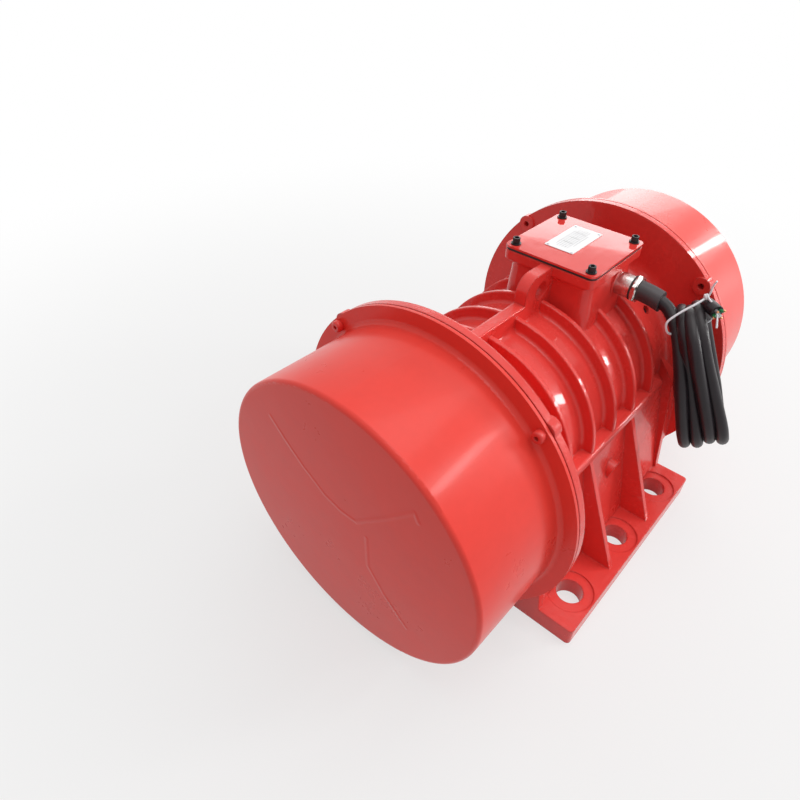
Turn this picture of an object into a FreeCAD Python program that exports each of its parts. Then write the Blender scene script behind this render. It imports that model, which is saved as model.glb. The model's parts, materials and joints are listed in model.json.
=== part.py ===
import FreeCAD, Part
import math
import os

# Vibration motor: foot-mounted three-phase motor with eccentric weights on both shaft ends.
# Frame: +X along the shaft, +Z up, origin under the centre of the feet, cable side at -Y.
# Lengths are millimetres, angles are degrees.

V = FreeCAD.Vector

# --- driving sizes -----------------------------------------------------------
shaft_height = 192.0          # shaft axis above the feet
flange_face = 197.0           # outer face of each end flange, from the middle
flange_radius = 203.0
flange_thickness = 10.0
flange_fillet = 24.0
flange_ground_gap = 3.0       # the flanges are cut flat this far above the ground
body_radius = 127.0
bore_radius = 112.0

rib_count = 5
rib_pitch = 54.0
rib_radius = 142.5
rib_thickness = 7.0
rib_root = 5.0
rib_crest = 1.5

top_rib_width = 16.0
top_rib_height = 151.0        # above the shaft axis
top_rib_root = 8.0
top_rib_crest = 2.0

ledge_reach = 145.0           # side ledge, from the middle plane
ledge_half_length = 143.0
ledge_top = 8.0               # above the shaft axis
ledge_thickness = 15.0
ledge_edge = 4.0

foot_half_length = 177.0
foot_half_width = 224.0
foot_inner_edge = 140.0
foot_thickness = 28.0
foot_corner = 6.0
bolt_pitch = 125.0
bolt_span = 380.0
bolt_columns = 3
bolt_hole_radius = 18.0
spot_face_radius = 31.5
spot_face_depth = 1.5

wall_thickness = 12.0
wall_top_reach = 136.0        # outer face of the side wall under the ledge
wall_base_reach = 171.0       # outer face of the side wall at the foot
gusset_x = 56.0
gusset_thickness = 8.0
gusset_top_reach = 144.0
gusset_base_reach = 213.0
end_gusset_thickness = 10.0
end_gusset_top_reach = 153.0
end_gusset_base_reach = 174.0
wall_boss_x = 14.0
wall_boss_height = 127.0
wall_boss_radius = 13.5
wall_boss_length = 6.0
cross_rib_thickness = 10.0
cross_rib_ground_gap = 22.0

lug_thickness = 16.0
lug_start = -40.5
lug_height = 182.0            # above the shaft axis
lug_corner = 22.0
lug_hole_x = -7.0
lug_hole_height = 158.0       # above the shaft axis
lug_hole_radius = 11.5

cover_lip_width = 21.0        # from the cup's side to the rim
cover_depth = 139.0           # from lip seat to closed face
cover_wall = 3.0
cover_lip_thickness = 4.0
cover_edge_radius = 5.0
cover_lip_fillet = 6.0
cover_seal_thickness = 1.5
cover_seal_inset = 2.0        # of the seal's rim behind the lip's
cover_screw_edge = 9.0        # from a screw's axis to the rim
cover_screw_angles = (45.0, 135.0, 225.0, 315.0)
cover_screw_radius = 4.0
cover_screw_head_radius = 6.5
cover_screw_head_height = 8.0
cover_screw_socket = 6.0
cover_boss_radius = 12.0
cover_boss_depth = 13.0

box_centre_x = 76.5
box_length = 131.0
box_width = 127.0
box_corner = 8.0
box_top = 183.0               # above the shaft axis
box_rim_height = 11.5
box_neck_inset = 6.0
box_neck_corner = 15.0
box_wall = 8.0                # wall thickness of the neck
box_floor = 132.0             # above the shaft axis
box_draft = 5.0               # the neck grows by this much down to the barrel
lead_hole_x = 97.0
lead_hole_radius = 12.0
gasket_thickness = 3.0
gasket_step = 1.0
box_cover_thickness = 2.6
box_screw_inset = 10.5
box_screw_radius = 3.0
box_screw_depth = 16.0
box_screw_head_radius = 5.0
box_screw_head_height = 6.0
box_screw_socket = 5.0
box_washer_radius = 6.5
box_washer_thickness = 1.6
box_boss_radius = 8.0

plate_length = 76.0
plate_width = 41.0
plate_thickness = 0.8
plate_centre_x = 83.5
plate_centre_y = 6.5
plate_corner = 1.5
rivet_inset = 3.5
rivet_radius = 1.5
rivet_height = 0.8

terminal_block_length = 52.0
terminal_block_width = 60.0
terminal_block_height = 14.0
terminal_block_gap = 6.0      # from the box wall on the lug side
stud_pitch_x = 24.0
stud_pitch_y = 18.0
stud_radius = 2.5
stud_height = 13.0
stud_nut_across_flats = 8.0
stud_nut_height = 4.0
earth_screw_x = 62.0
earth_screw_y = 42.0
earth_screw_length = 10.0

gland_x = 97.0
gland_height = 149.0          # above the shaft axis
gland_thread_radius = 12.5
gland_body_radius = 14.5
gland_body_length = 19.5
gland_seal_radius = 15.5
gland_seal_thickness = 2.5
gland_nut_across_flats = 32.0
gland_nut_length = 7.0
gland_boss_radius = 19.0
gland_boss_height = 3.0
gland_locknut_length = 5.0

cable_radius = 8.0
sleeve_wall = 4.5
sleeve_length = 30.0

rotor_half_length = 75.0
rotor_radius = 65.0
rotor_end_ring_length = 12.0
rotor_end_ring_wall = 14.0
air_gap = 1.0
stator_half_length = 75.0
slot_count = 24
slot_width = 9.0
slot_depth = 22.0
slot_mouth = 2.0
slot_liner = 0.3
winding_overhang = 28.0
winding_wall = 24.0
winding_round = 9.0
winding_bar_step = 1.0        # the bars lie this much further out than the end turns

shaft_core_radius = 36.0
shaft_core_half_length = 100.0
shaft_shoulder_radius = 34.0
shaft_bearing_radius = 30.0
shaft_weight_radius = 27.5

bearing_start = 142.0         # inner side of the bearing, from the middle
bearing_width = 31.0
bearing_outer_radius = 65.0
bearing_inner_race = 38.5
bearing_outer_race = 57.5
roller_count = 13
roller_length = 20.0
race_clearance = 0.05
cage_inner = 44.0
cage_outer = 52.0
cage_width = 26.0

shield_radius = 140.0
shield_thickness = 13.0
shield_edge = 3.0
shield_lip = 6.0
shield_lip_radius = 52.0
shield_hub_radius = 80.0
shield_web = 13.0
shield_spigot_wall = 12.0
shield_spigot_length = 50.0
shield_pocket_radius = 90.0
shield_bolt_circle = 125.0
shield_bolt_count = 8
shield_bolt_radius = 5.0
shield_bolt_depth = 22.0      # thread length in the frame
shield_bolt_across_flats = 17.0
shield_bolt_head = 6.4
cap_thickness = 8.0
cap_spigot = 4.0
cap_radius = 86.0
cap_screw_circle = 73.0
cap_screw_count = 6
cap_screw_radius = 3.0
cap_screw_depth = 7.0         # thread length in the shield
cap_screw_head_radius = 5.0
cap_screw_head_height = 6.0
cap_screw_socket = 5.0
seal_clearance = 0.3
seal_width = 5.0
seal_outer_radius = 42.0

weight_cover_gap = 19.0       # from the weights to the inside of the cover
weight_hub_radius = 52.0
weight_half_angle = 72.0
weight_corner = 10.0
weight_start = 219.0          # inner side of the fixed weight, from the middle
fixed_weight_thickness = 44.0
adjustable_weight_thickness = 44.0
scale_disc_radius = 62.0
scale_disc_thickness = 2.0
weight_gap = 0.3              # axial running gap beside each adjustable weight
running_clearance = 0.05
clamp_slit = 4.0
clamp_bolt_radius = 6.0
clamp_bolt_height = 39.5      # above the shaft axis
clamp_bolt_across_flats = 16.0
clamp_bolt_head = 8.0
clamp_flat = 19.0             # half width between the flats under head and nut
key_width = 16.0
key_height = 10.0
key_depth = 6.0
key_length = 36.0
end_washer_radius = 40.0
end_washer_thickness = 5.0
end_bolt_radius = 6.0
end_bolt_depth = 26.0         # thread length in the shaft
end_bolt_across_flats = 19.0
end_bolt_head = 7.5

grease_x = 157.0
grease_angle = 43.0           # from straight up towards -Y
grease_hole_radius = 6.0
grease_plug_depth = 5.0
grease_plug_socket = 5.0

seat_clearance = 0.05         # radial play of a part seated in or on another
thread_clearance = 0.05
hole_clearance = 0.5

# --- helpers -----------------------------------------------------------------
axis_point = V(0, 0, shaft_height)
along_x = V(1, 0, 0)
along_y = V(0, 1, 0)
along_z = V(0, 0, 1)


def box(x0, x1, y0, y1, z0, z1):
    return Part.makeBox(x1 - x0, y1 - y0, z1 - z0, V(x0, y0, z0))


def rod_x(radius, x0, x1, y=0.0, z=shaft_height):
    return Part.makeCylinder(radius, x1 - x0, V(x0, y, z), along_x)


def rod_y(radius, y0, y1, x, z):
    return Part.makeCylinder(radius, y1 - y0, V(x, y0, z), along_y)


def rod_z(radius, z0, z1, x, y):
    return Part.makeCylinder(radius, z1 - z0, V(x, y, z0), along_z)


def tube_x(outer, inner, x0, x1):
    return rod_x(outer, x0, x1).cut(rod_x(inner, x0, x1))


def rounded_wire(points, radii):
    """Closed wire through the points, each corner rounded by its radius (0 keeps it sharp)."""
    edges = []
    count = len(points)
    starts = []
    ends = []
    middles = []
    for i in range(count):
        corner = points[i]
        back = (points[i - 1] - corner).normalize()
        ahead = (points[(i + 1) % count] - corner).normalize()
        if radii[i] <= 0:
            starts.append(corner)
            ends.append(corner)
            middles.append(None)
            continue
        half = back.getAngle(ahead) / 2
        reach = radii[i] / math.tan(half)
        bisector = (back + ahead).normalize()
        starts.append(corner + back * reach)
        ends.append(corner + ahead * reach)
        middles.append(corner + bisector * (radii[i] / math.sin(half) - radii[i]))
    for i in range(count):
        if middles[i] is not None:
            edges.append(Part.Arc(starts[i], middles[i], ends[i]).toShape())
        following = starts[(i + 1) % count]
        if (following - ends[i]).Length > 1e-6:
            edges.append(Part.LineSegment(ends[i], following).toShape())
    return Part.Wire(edges)


def turned(points, angle=360.0, start=0.0):
    """Solid turned about the shaft axis from (x, radius[, corner radius]) points."""
    corners = [V(p[0], 0, shaft_height + p[1]) for p in points]
    radii = [p[2] if len(p) > 2 else 0 for p in points]
    face = Part.Face(rounded_wire(corners, radii))
    if start:
        face.rotate(axis_point, along_x, start)
    return face.revolve(axis_point, along_x, angle)


def slab_z(points, z0, z1):
    """Upright prism on (x, y[, corner radius]) points."""
    corners = [V(p[0], p[1], z0) for p in points]
    radii = [p[2] if len(p) > 2 else 0 for p in points]
    return Part.Face(rounded_wire(corners, radii)).extrude(V(0, 0, z1 - z0))


def slab_x(points, x0, x1):
    """Prism along X on (y, z[, corner radius]) points."""
    corners = [V(x0, p[0], p[1]) for p in points]
    radii = [p[2] if len(p) > 2 else 0 for p in points]
    return Part.Face(rounded_wire(corners, radii)).extrude(V(x1 - x0, 0, 0))


def slab_y(points, y0, y1):
    """Prism along Y on (x, z[, corner radius]) points."""
    corners = [V(p[0], y0, p[1]) for p in points]
    radii = [p[2] if len(p) > 2 else 0 for p in points]
    return Part.Face(rounded_wire(corners, radii)).extrude(V(0, y1 - y0, 0))


def rounded_block(centre_x, centre_y, length, width, corner, z0, z1):
    x0 = centre_x - length / 2
    x1 = centre_x + length / 2
    y0 = centre_y - width / 2
    y1 = centre_y + width / 2
    return slab_z([(x0, y0, corner), (x1, y0, corner), (x1, y1, corner), (x0, y1, corner)], z0, z1)


def hexagon(across_flats, centre, direction, length):
    """Hexagonal prism whose base is centred at a point and which grows along a direction."""
    corner_radius = across_flats / math.sqrt(3)
    side = direction.cross(along_x)
    if side.Length < 0.5:
        side = direction.cross(along_z)
    side.normalize()
    other = direction.cross(side).normalize()
    points = []
    for step in range(6):
        angle = math.radians(60 * step + 30)
        offset = side * (corner_radius * math.cos(angle)) + other * (corner_radius * math.sin(angle))
        points.append(centre + offset)
    return Part.Face(Part.makePolygon(points + [points[0]])).extrude(direction * length)


def around_shaft(shape, angle):
    """Copy of a shape turned about the shaft axis, from straight up towards -Y."""
    copy = shape.copy()
    copy.rotate(axis_point, along_x, angle)
    return copy


def mirrored_x(shape):
    return shape.mirror(V(0, 0, 0), along_x)


def mirrored_y(shape):
    return shape.mirror(V(0, 0, 0), along_y)


def joined(shapes):
    return shapes[0].multiFuse(shapes[1:]).removeSplitter()


def drilled(shape, tools):
    return shape.cut(Part.makeCompound(tools))


def socket_screw(tip, direction, radius, length, head_radius, head_height, socket):
    """Cap screw: shank along the direction from its seat backwards, head on the seat."""
    shank = Part.makeCylinder(radius, length, tip, direction)
    head_base = tip + direction * length
    head = Part.makeCylinder(head_radius, head_height, head_base, direction)
    recess_base = head_base + direction * (head_height / 2)
    recess = hexagon(2 * socket, recess_base, direction, head_height)
    return shank.fuse(head).cut(recess)


def hex_bolt(tip, direction, radius, length, across_flats, head_height):
    shank = Part.makeCylinder(radius, length, tip, direction)
    return shank.fuse(hexagon(across_flats, tip + direction * length, direction, head_height))


nodes = {}

# --- cast frame --------------------------------------------------------------
flange_back = flange_face - flange_thickness
cover_screw_circle = flange_radius - cover_screw_edge
wall_top_z = shaft_height + ledge_top - ledge_thickness


def barrel():
    """Upper half with its cooling ribs, lower half plain, both with the end flanges."""
    left_end = [(-flange_face, 0), (-flange_face, flange_radius), (-flange_back, flange_radius),
                (-flange_back, body_radius, flange_fillet)]
    right_end = [(flange_back, body_radius, flange_fillet), (flange_back, flange_radius),
                 (flange_face, flange_radius), (flange_face, 0)]
    ribbed = list(left_end)
    for index in range(rib_count):
        x = (index - (rib_count - 1) / 2) * rib_pitch
        half = rib_thickness / 2
        ribbed.append((x - half, body_radius, rib_root))
        ribbed.append((x - half, rib_radius, rib_crest))
        ribbed.append((x + half, rib_radius, rib_crest))
        ribbed.append((x + half, body_radius, rib_root))
    upper = turned(ribbed + right_end, 180.0, -90.0)
    lower = turned(left_end + right_end, 180.0, 90.0)
    return upper.fuse(lower)


def rim_limit():
    """What lies between the feet's ends and the flanges is kept inside the flange rim."""
    return rod_x(flange_radius, -flange_face, flange_face)


def to_the_flanges(shape_at):
    """Piece made by shape_at(x0, x1) over the feet's length, with its ends run into the flanges."""
    ends = []
    for side in (-1, 1):
        x0 = min(side * foot_half_length, side * (flange_back + 2.0))
        ends.append(shape_at(x0, x0 + flange_back + 2.0 - foot_half_length).common(rim_limit()))
    return ends


def side_wall(x0, x1):
    """Sloping wall from the barrel down to the foot."""
    top_in = wall_top_reach - wall_thickness
    return slab_x([(-wall_top_reach, wall_top_z), (-wall_base_reach, foot_thickness),
                   (-wall_base_reach, foot_thickness / 2),
                   (-wall_base_reach + wall_thickness, foot_thickness / 2),
                   (-wall_base_reach + wall_thickness, foot_thickness),
                   (-top_in, wall_top_z), (-top_in, wall_top_z + 6.0),
                   (-body_radius, wall_top_z + 8.0)], x0, x1)


def gusset(x0, x1, top_reach, base_reach):
    inside = wall_top_reach - wall_thickness / 2
    return slab_x([(-inside, wall_top_z + 3.0), (-top_reach, wall_top_z + 3.0, 3.0),
                   (-base_reach, foot_thickness), (-base_reach, foot_thickness - 4.0),
                   (-inside, foot_thickness - 4.0)], x0, x1)


def end_gusset(x0, x1):
    """Broad plate behind a flange; at its top it leans back onto the barrel."""
    inside = wall_top_reach - wall_thickness / 2
    return slab_x([(-body_radius + 4.0, wall_top_z + 34.0), (-end_gusset_top_reach, wall_top_z, 12.0),
                   (-end_gusset_base_reach, foot_thickness),
                   (-end_gusset_base_reach, foot_thickness - 4.0),
                   (-inside, foot_thickness - 4.0)], x0, x1)


def ledge():
    z1 = wall_top_z + ledge_thickness
    return slab_x([(-ledge_reach, wall_top_z, ledge_edge), (-ledge_reach, z1, ledge_edge),
                   (-bore_radius - 4.0, z1), (-bore_radius - 4.0, wall_top_z)],
                  -ledge_half_length, ledge_half_length)


def foot_plate():
    x = foot_half_length
    return slab_z([(-x, -foot_half_width, foot_corner), (x, -foot_half_width, foot_corner),
                   (x, -foot_inner_edge), (-x, -foot_inner_edge)], 0, foot_thickness)


def wall_boss():
    """Round cast pad, square to the sloping wall."""
    slope = V(0, wall_base_reach - wall_top_reach, wall_top_z - foot_thickness).normalize()
    outward = V(0, -slope.z, -slope.y)
    share = (wall_top_z - wall_boss_height) / (wall_top_z - foot_thickness)
    reach = wall_top_reach + (wall_base_reach - wall_top_reach) * share
    start = V(wall_boss_x, -reach, wall_boss_height) - outward * (wall_thickness / 2)
    return Part.makeCylinder(wall_boss_radius, wall_boss_length + wall_thickness / 2, start, outward)


def frame_side():
    x = foot_half_length
    pieces = [side_wall(-x, x), ledge(), foot_plate(), wall_boss()]
    pieces += to_the_flanges(side_wall)
    pieces += to_the_flanges(end_gusset)
    for side in (-1, 1):
        inner = side * (x - end_gusset_thickness)
        pieces.append(end_gusset(min(inner, side * x), max(inner, side * x)))
        middle = side * gusset_x
        pieces.append(gusset(middle - gusset_thickness / 2, middle + gusset_thickness / 2,
                             gusset_top_reach, gusset_base_reach))
    return pieces


def cross_rib(x):
    """Rib under the barrel that ties the two side walls together."""
    half = cross_rib_thickness / 2
    lower = wall_base_reach - wall_thickness / 2
    upper = wall_top_reach - wall_thickness / 2
    return slab_x([(-lower, cross_rib_ground_gap), (lower, cross_rib_ground_gap),
                   (upper, wall_top_z), (-upper, wall_top_z)], x - half, x + half)


def top_rib(x0, x1):
    """Level rib along the top of the barrel, with filleted roots."""
    half = top_rib_width / 2
    wide = half + 2 * top_rib_root
    root_z = shaft_height + body_radius
    low = shaft_height + bore_radius + 6.0
    top = shaft_height + top_rib_height
    side_z = shaft_height + math.sqrt(body_radius ** 2 - wide ** 2)
    return slab_x([(-wide, low), (-wide, side_z), (-half, root_z, top_rib_root),
                   (-half, top, top_rib_crest), (half, top, top_rib_crest),
                   (half, root_z, top_rib_root), (wide, side_z), (wide, low)], x0, x1)


neck_length = box_length - 2 * box_neck_inset
neck_width = box_width - 2 * box_neck_inset
box_top_z = shaft_height + box_top
box_floor_z = shaft_height + box_floor
box_face_y = -neck_width / 2
gland_z = shaft_height + gland_height
gland_seat_y = box_face_y - gland_boss_height


def lifting_lug():
    half = lug_thickness / 2
    z0 = shaft_height + bore_radius + 6.0
    z1 = shaft_height + lug_height
    x1 = box_centre_x - neck_length / 2 + box_neck_corner
    return slab_y([(lug_start, z0), (lug_start, z1, lug_corner), (x1, z1), (x1, z0)], -half, half)


def screw_spots():
    """Centres of the four terminal-cover screws."""
    spots = []
    for side_x in (-1, 1):
        for side_y in (-1, 1):
            x = box_centre_x + side_x * (box_length / 2 - box_screw_inset)
            y = side_y * (box_width / 2 - box_screw_inset)
            spots.append((x, y))
    return spots


def box_block_wire(length, width, corner, z):
    """Rounded rectangle of the terminal box at a height."""
    x0 = box_centre_x - length / 2
    x1 = box_centre_x + length / 2
    y1 = width / 2
    points = [V(x0, -y1, z), V(x1, -y1, z), V(x1, y1, z), V(x0, y1, z)]
    return rounded_wire(points, [corner] * 4)


def terminal_box():
    """Rim under the cover, a chamfered step below it and a drafted neck down into the barrel."""
    rim_z = box_top_z - box_rim_height
    step_z = rim_z - box_neck_inset
    foot_z = shaft_height + bore_radius - box_draft
    rim = rounded_block(box_centre_x, 0, box_length, box_width, box_corner, rim_z, box_top_z)
    step = Part.makeLoft([box_block_wire(neck_length, neck_width, box_neck_corner, step_z),
                          box_block_wire(box_length, box_width, box_corner, rim_z)], True, True)
    neck = Part.makeLoft([box_block_wire(neck_length + 2 * box_draft, neck_width + 2 * box_draft,
                                         box_neck_corner + box_draft, foot_z),
                          box_block_wire(neck_length, neck_width, box_neck_corner, step_z)], True, True)
    boss = rod_y(gland_boss_radius, gland_seat_y, box_face_y + box_wall, gland_x, gland_z)
    return [rim, step, neck, boss]


def cavity_shape(z0, z1):
    """Inside of the terminal box, with the round screw bosses left standing in its corners."""
    hollow = rounded_block(box_centre_x, 0, neck_length - 2 * box_wall, neck_width - 2 * box_wall,
                           box_neck_corner - box_wall, z0, z1)
    bosses = [rod_z(box_boss_radius, z0 - 1, z1 + 1, x, y) for x, y in screw_spots()]
    return hollow.cut(Part.makeCompound(bosses))


def rim_bosses():
    """Round bosses behind both flanges, one for each cover screw."""
    bosses = []
    for angle in cover_screw_angles:
        for side in (-1, 1):
            x0 = min(side * flange_face, side * (flange_face - cover_boss_depth))
            boss = rod_x(cover_boss_radius, x0, x0 + cover_boss_depth, 0.0,
                         shaft_height + cover_screw_circle)
            bosses.append(around_shaft(boss, angle))
    return bosses


def shield_bolt_angles():
    return [(index + 0.5) * 360.0 / shield_bolt_count for index in range(shield_bolt_count)]


def frame_housing():
    sides = frame_side()
    pieces = [barrel()] + sides + [mirrored_y(piece) for piece in sides]
    pieces += [cross_rib(-gusset_x), cross_rib(gusset_x)]
    pieces.append(top_rib(-flange_back - 1.0, box_centre_x - neck_length / 2 + box_wall))
    pieces.append(top_rib(box_centre_x + neck_length / 2 - box_wall, flange_back + 1.0))
    pieces.append(lifting_lug())
    pieces += terminal_box()
    pieces += rim_bosses()
    casting = joined(pieces)

    cuts = [rod_x(bore_radius, -flange_face - 1, flange_face + 1)]
    cuts.append(cavity_shape(box_floor_z, box_top_z + 1))
    cuts.append(rod_z(lead_hole_radius, shaft_height, box_floor_z + 1, lead_hole_x, 0))
    cuts.append(rod_y(lug_hole_radius, -lug_thickness, lug_thickness, lug_hole_x,
                      shaft_height + lug_hole_height))
    cuts.append(rod_y(gland_thread_radius + thread_clearance, gland_seat_y - 1,
                      box_face_y + 2 * box_wall, gland_x, gland_z))
    for x, y in screw_spots():
        cuts.append(rod_z(box_screw_radius + thread_clearance, box_top_z - box_screw_depth,
                          box_top_z + 1, x, y))
    cuts.append(rod_z(box_screw_radius + thread_clearance, box_floor_z - earth_screw_length,
                      box_floor_z + 1, earth_screw_x, earth_screw_y))
    for column in range(bolt_columns):
        x = (column - (bolt_columns - 1) / 2) * bolt_pitch
        for y in (-bolt_span / 2, bolt_span / 2):
            cuts.append(rod_z(bolt_hole_radius, -1, foot_thickness + 1, x, y))
            cuts.append(rod_z(spot_face_radius, foot_thickness - spot_face_depth,
                              foot_thickness + 1, x, y))
    for side in (-1, 1):
        for angle in cover_screw_angles:
            x0 = min(side * (flange_face + 1), side * (flange_face - cover_boss_depth - 1))
            hole = rod_x(cover_screw_radius + thread_clearance, x0, x0 + cover_boss_depth + 2, 0.0,
                         shaft_height + cover_screw_circle)
            cuts.append(around_shaft(hole, angle))
        for angle in shield_bolt_angles():
            x0 = min(side * (flange_face + 1), side * (flange_face - shield_bolt_depth))
            hole = rod_x(shield_bolt_radius + thread_clearance, x0, x0 + shield_bolt_depth + 1, 0.0,
                         shaft_height + shield_bolt_circle)
            cuts.append(around_shaft(hole, angle))
        port = Part.makeCylinder(grease_hole_radius + thread_clearance, body_radius - bore_radius + 12,
                                 V(side * grease_x, 0, shaft_height + bore_radius - 5), along_z)
        cuts.append(around_shaft(port, grease_angle))
        cuts.append(box(min(side * (flange_back - 1.0), side * (flange_face + 1)),
                        max(side * (flange_back - 1.0), side * (flange_face + 1)),
                        -flange_radius, flange_radius, -flange_radius, flange_ground_gap))
    return drilled(casting, cuts)


nodes["frame_housing"] = frame_housing()

# --- end covers --------------------------------------------------------------
cover_radius = flange_radius - cover_lip_width
cover_seat = flange_face + cover_seal_thickness
cover_end = cover_seat + cover_depth
cover_lip = cover_seat + cover_lip_thickness


def flat_base(shape):
    """Same flat at the bottom as the frame's flanges."""
    return shape.cut(box(-2 * flange_face, 2 * flange_face, -flange_radius - 5, flange_radius + 5,
                         -flange_radius, flange_ground_gap))


def cover_screw_holes(x0, x1):
    hole = rod_x(cover_screw_radius + hole_clearance, x0, x1, 0.0, shaft_height + cover_screw_circle)
    return [around_shaft(hole, angle) for angle in cover_screw_angles]


def end_cover():
    """Drawn cup with a flat lip that matches the flange."""
    inner = cover_radius - cover_wall
    cup = turned([(cover_seat, inner), (cover_seat, flange_radius), (cover_lip, flange_radius),
                  (cover_lip, cover_radius, cover_lip_fillet),
                  (cover_end, cover_radius, cover_edge_radius), (cover_end, 0),
                  (cover_end - cover_wall, 0),
                  (cover_end - cover_wall, inner, cover_edge_radius - cover_wall)])
    return drilled(flat_base(cup), cover_screw_holes(cover_seat - 1, cover_lip + 1))


def cover_seal():
    ring = tube_x(flange_radius - cover_seal_inset, cover_radius - cover_wall, flange_face, cover_seat)
    return drilled(flat_base(ring), cover_screw_holes(flange_face - 1, cover_seat + 1))


def cover_screws():
    tip = V(flange_face - cover_boss_depth, 0, shaft_height + cover_screw_circle)
    screw = socket_screw(tip, along_x, cover_screw_radius, cover_lip - tip.x,
                         cover_screw_head_radius, cover_screw_head_height, cover_screw_socket)
    return Part.makeCompound([around_shaft(screw, angle) for angle in cover_screw_angles])


nodes["end_cover_right"] = end_cover()
nodes["cover_seal_right"] = cover_seal()

# --- bearing shields, caps and bearings --------------------------------------
bearing_end = bearing_start + bearing_width
bearing_middle = bearing_start + bearing_width / 2
roller_pitch_radius = (bearing_inner_race + bearing_outer_race) / 2
roller_radius = (bearing_outer_race - bearing_inner_race) / 2 - race_clearance
shield_outer_face = flange_face + shield_thickness
cap_seat = bearing_end + cap_spigot
cap_face = cap_seat + cap_thickness


def cap_screw_angles():
    return [index * 360.0 / cap_screw_count for index in range(cap_screw_count)]


def bearing_shield():
    """Plate bolted on the flange, with its spigot in the bore and the bearing seat in its hub."""
    spigot_radius = bore_radius - seat_clearance
    spigot_inner = bore_radius - shield_spigot_wall
    spigot_start = flange_face - shield_spigot_length
    hub_start = bearing_start - shield_lip
    web_inside = cap_seat - shield_web
    body = turned([(hub_start, shield_lip_radius), (hub_start, shield_hub_radius),
                   (web_inside, shield_hub_radius, 6.0), (web_inside, spigot_inner, 6.0),
                   (spigot_start, spigot_inner), (spigot_start, spigot_radius),
                   (flange_face, spigot_radius), (flange_face, shield_radius),
                   (shield_outer_face, shield_radius, shield_edge),
                   (shield_outer_face, shield_pocket_radius), (cap_seat, shield_pocket_radius),
                   (cap_seat, bearing_outer_radius), (bearing_start, bearing_outer_radius),
                   (bearing_start, shield_lip_radius)])
    bolt_hole = rod_x(shield_bolt_radius + hole_clearance, flange_face - 1, shield_outer_face + 1, 0.0,
                      shaft_height + shield_bolt_circle)
    cap_hole = rod_x(cap_screw_radius + thread_clearance, cap_seat - cap_screw_depth, cap_seat + 1, 0.0,
                     shaft_height + cap_screw_circle)
    cuts = [around_shaft(bolt_hole, angle) for angle in shield_bolt_angles()]
    cuts += [around_shaft(cap_hole, angle) for angle in cap_screw_angles()]
    return drilled(body, cuts)


def shield_bolts():
    tip = V(flange_face - shield_bolt_depth, 0, shaft_height + shield_bolt_circle)
    bolt = hex_bolt(tip, along_x, shield_bolt_radius, shield_outer_face - tip.x,
                    shield_bolt_across_flats, shield_bolt_head)
    return Part.makeCompound([around_shaft(bolt, angle) for angle in shield_bolt_angles()])


def bearing_cap():
    """Cap whose spigot holds the bearing's outer ring and whose bore holds the shaft seal."""
    seal_start = cap_face - seal_width
    spigot_radius = bearing_outer_radius - seat_clearance
    body = turned([(bearing_end, bearing_outer_race + 1.0), (bearing_end, spigot_radius),
                   (cap_seat, spigot_radius), (cap_seat, cap_radius), (cap_face, cap_radius, 2.0),
                   (cap_face, seal_outer_radius), (seal_start, seal_outer_radius),
                   (seal_start, bearing_outer_race + 1.0)])
    hole = rod_x(cap_screw_radius + hole_clearance, cap_seat - 1, cap_face + 1, 0.0,
                 shaft_height + cap_screw_circle)
    return drilled(body, [around_shaft(hole, angle) for angle in cap_screw_angles()])


def bearing_cap_screws():
    tip = V(cap_seat - cap_screw_depth, 0, shaft_height + cap_screw_circle)
    screw = socket_screw(tip, along_x, cap_screw_radius, cap_face - tip.x, cap_screw_head_radius,
                         cap_screw_head_height, cap_screw_socket)
    return Part.makeCompound([around_shaft(screw, angle) for angle in cap_screw_angles()])


def shaft_seals():
    """One ring in the cap, one in the inner lip of the shield."""
    outer = tube_x(seal_outer_radius - seat_clearance, shaft_bearing_radius + seal_clearance,
                   cap_face - seal_width, cap_face)
    inner = tube_x(shield_lip_radius - seat_clearance, shaft_shoulder_radius + seal_clearance,
                   bearing_start - shield_lip, bearing_start - seal_clearance)
    return Part.makeCompound([outer, inner])


def bearing_rollers():
    roller = rod_x(roller_radius, bearing_middle - roller_length / 2,
                   bearing_middle + roller_length / 2, 0.0, shaft_height + roller_pitch_radius)
    return Part.makeCompound([around_shaft(roller, index * 360.0 / roller_count)
                              for index in range(roller_count)])


def bearing_cage():
    """Ring with one open pocket for each roller."""
    ring = tube_x(cage_outer, cage_inner, bearing_middle - cage_width / 2,
                  bearing_middle + cage_width / 2)
    half = roller_length / 2 + race_clearance
    pocket = rod_x(roller_radius + race_clearance, bearing_middle - half, bearing_middle + half, 0.0,
                   shaft_height + roller_pitch_radius)
    return drilled(ring, [around_shaft(pocket, index * 360.0 / roller_count)
                          for index in range(roller_count)])


nodes["bearing_shield_right"] = bearing_shield()
nodes["bearing_cap_right"] = bearing_cap()
nodes["shaft_seals_right"] = shaft_seals()
nodes["bearing_outer_ring_right"] = tube_x(bearing_outer_radius - seat_clearance, bearing_outer_race,
                                           bearing_start, bearing_end)
nodes["bearing_inner_ring_right"] = tube_x(bearing_inner_race, shaft_bearing_radius + seat_clearance,
                                           bearing_start, bearing_end)
nodes["bearing_rollers_right"] = bearing_rollers()
nodes["bearing_cage_right"] = bearing_cage()

# --- stator and windings -----------------------------------------------------
stator_bore = rotor_radius + air_gap
slot_bottom = stator_bore + slot_mouth
slot_top = slot_bottom + slot_depth


def slot_boxes(inner, outer, width, half_length):
    slot = box(-half_length, half_length, -width / 2, width / 2, shaft_height + inner,
               shaft_height + outer)
    return [around_shaft(slot, index * 360.0 / slot_count) for index in range(slot_count)]


def stator_core():
    core = tube_x(bore_radius - seat_clearance, stator_bore, -stator_half_length, stator_half_length)
    return drilled(core, slot_boxes(slot_bottom, slot_top, slot_width, stator_half_length + 1))


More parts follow.
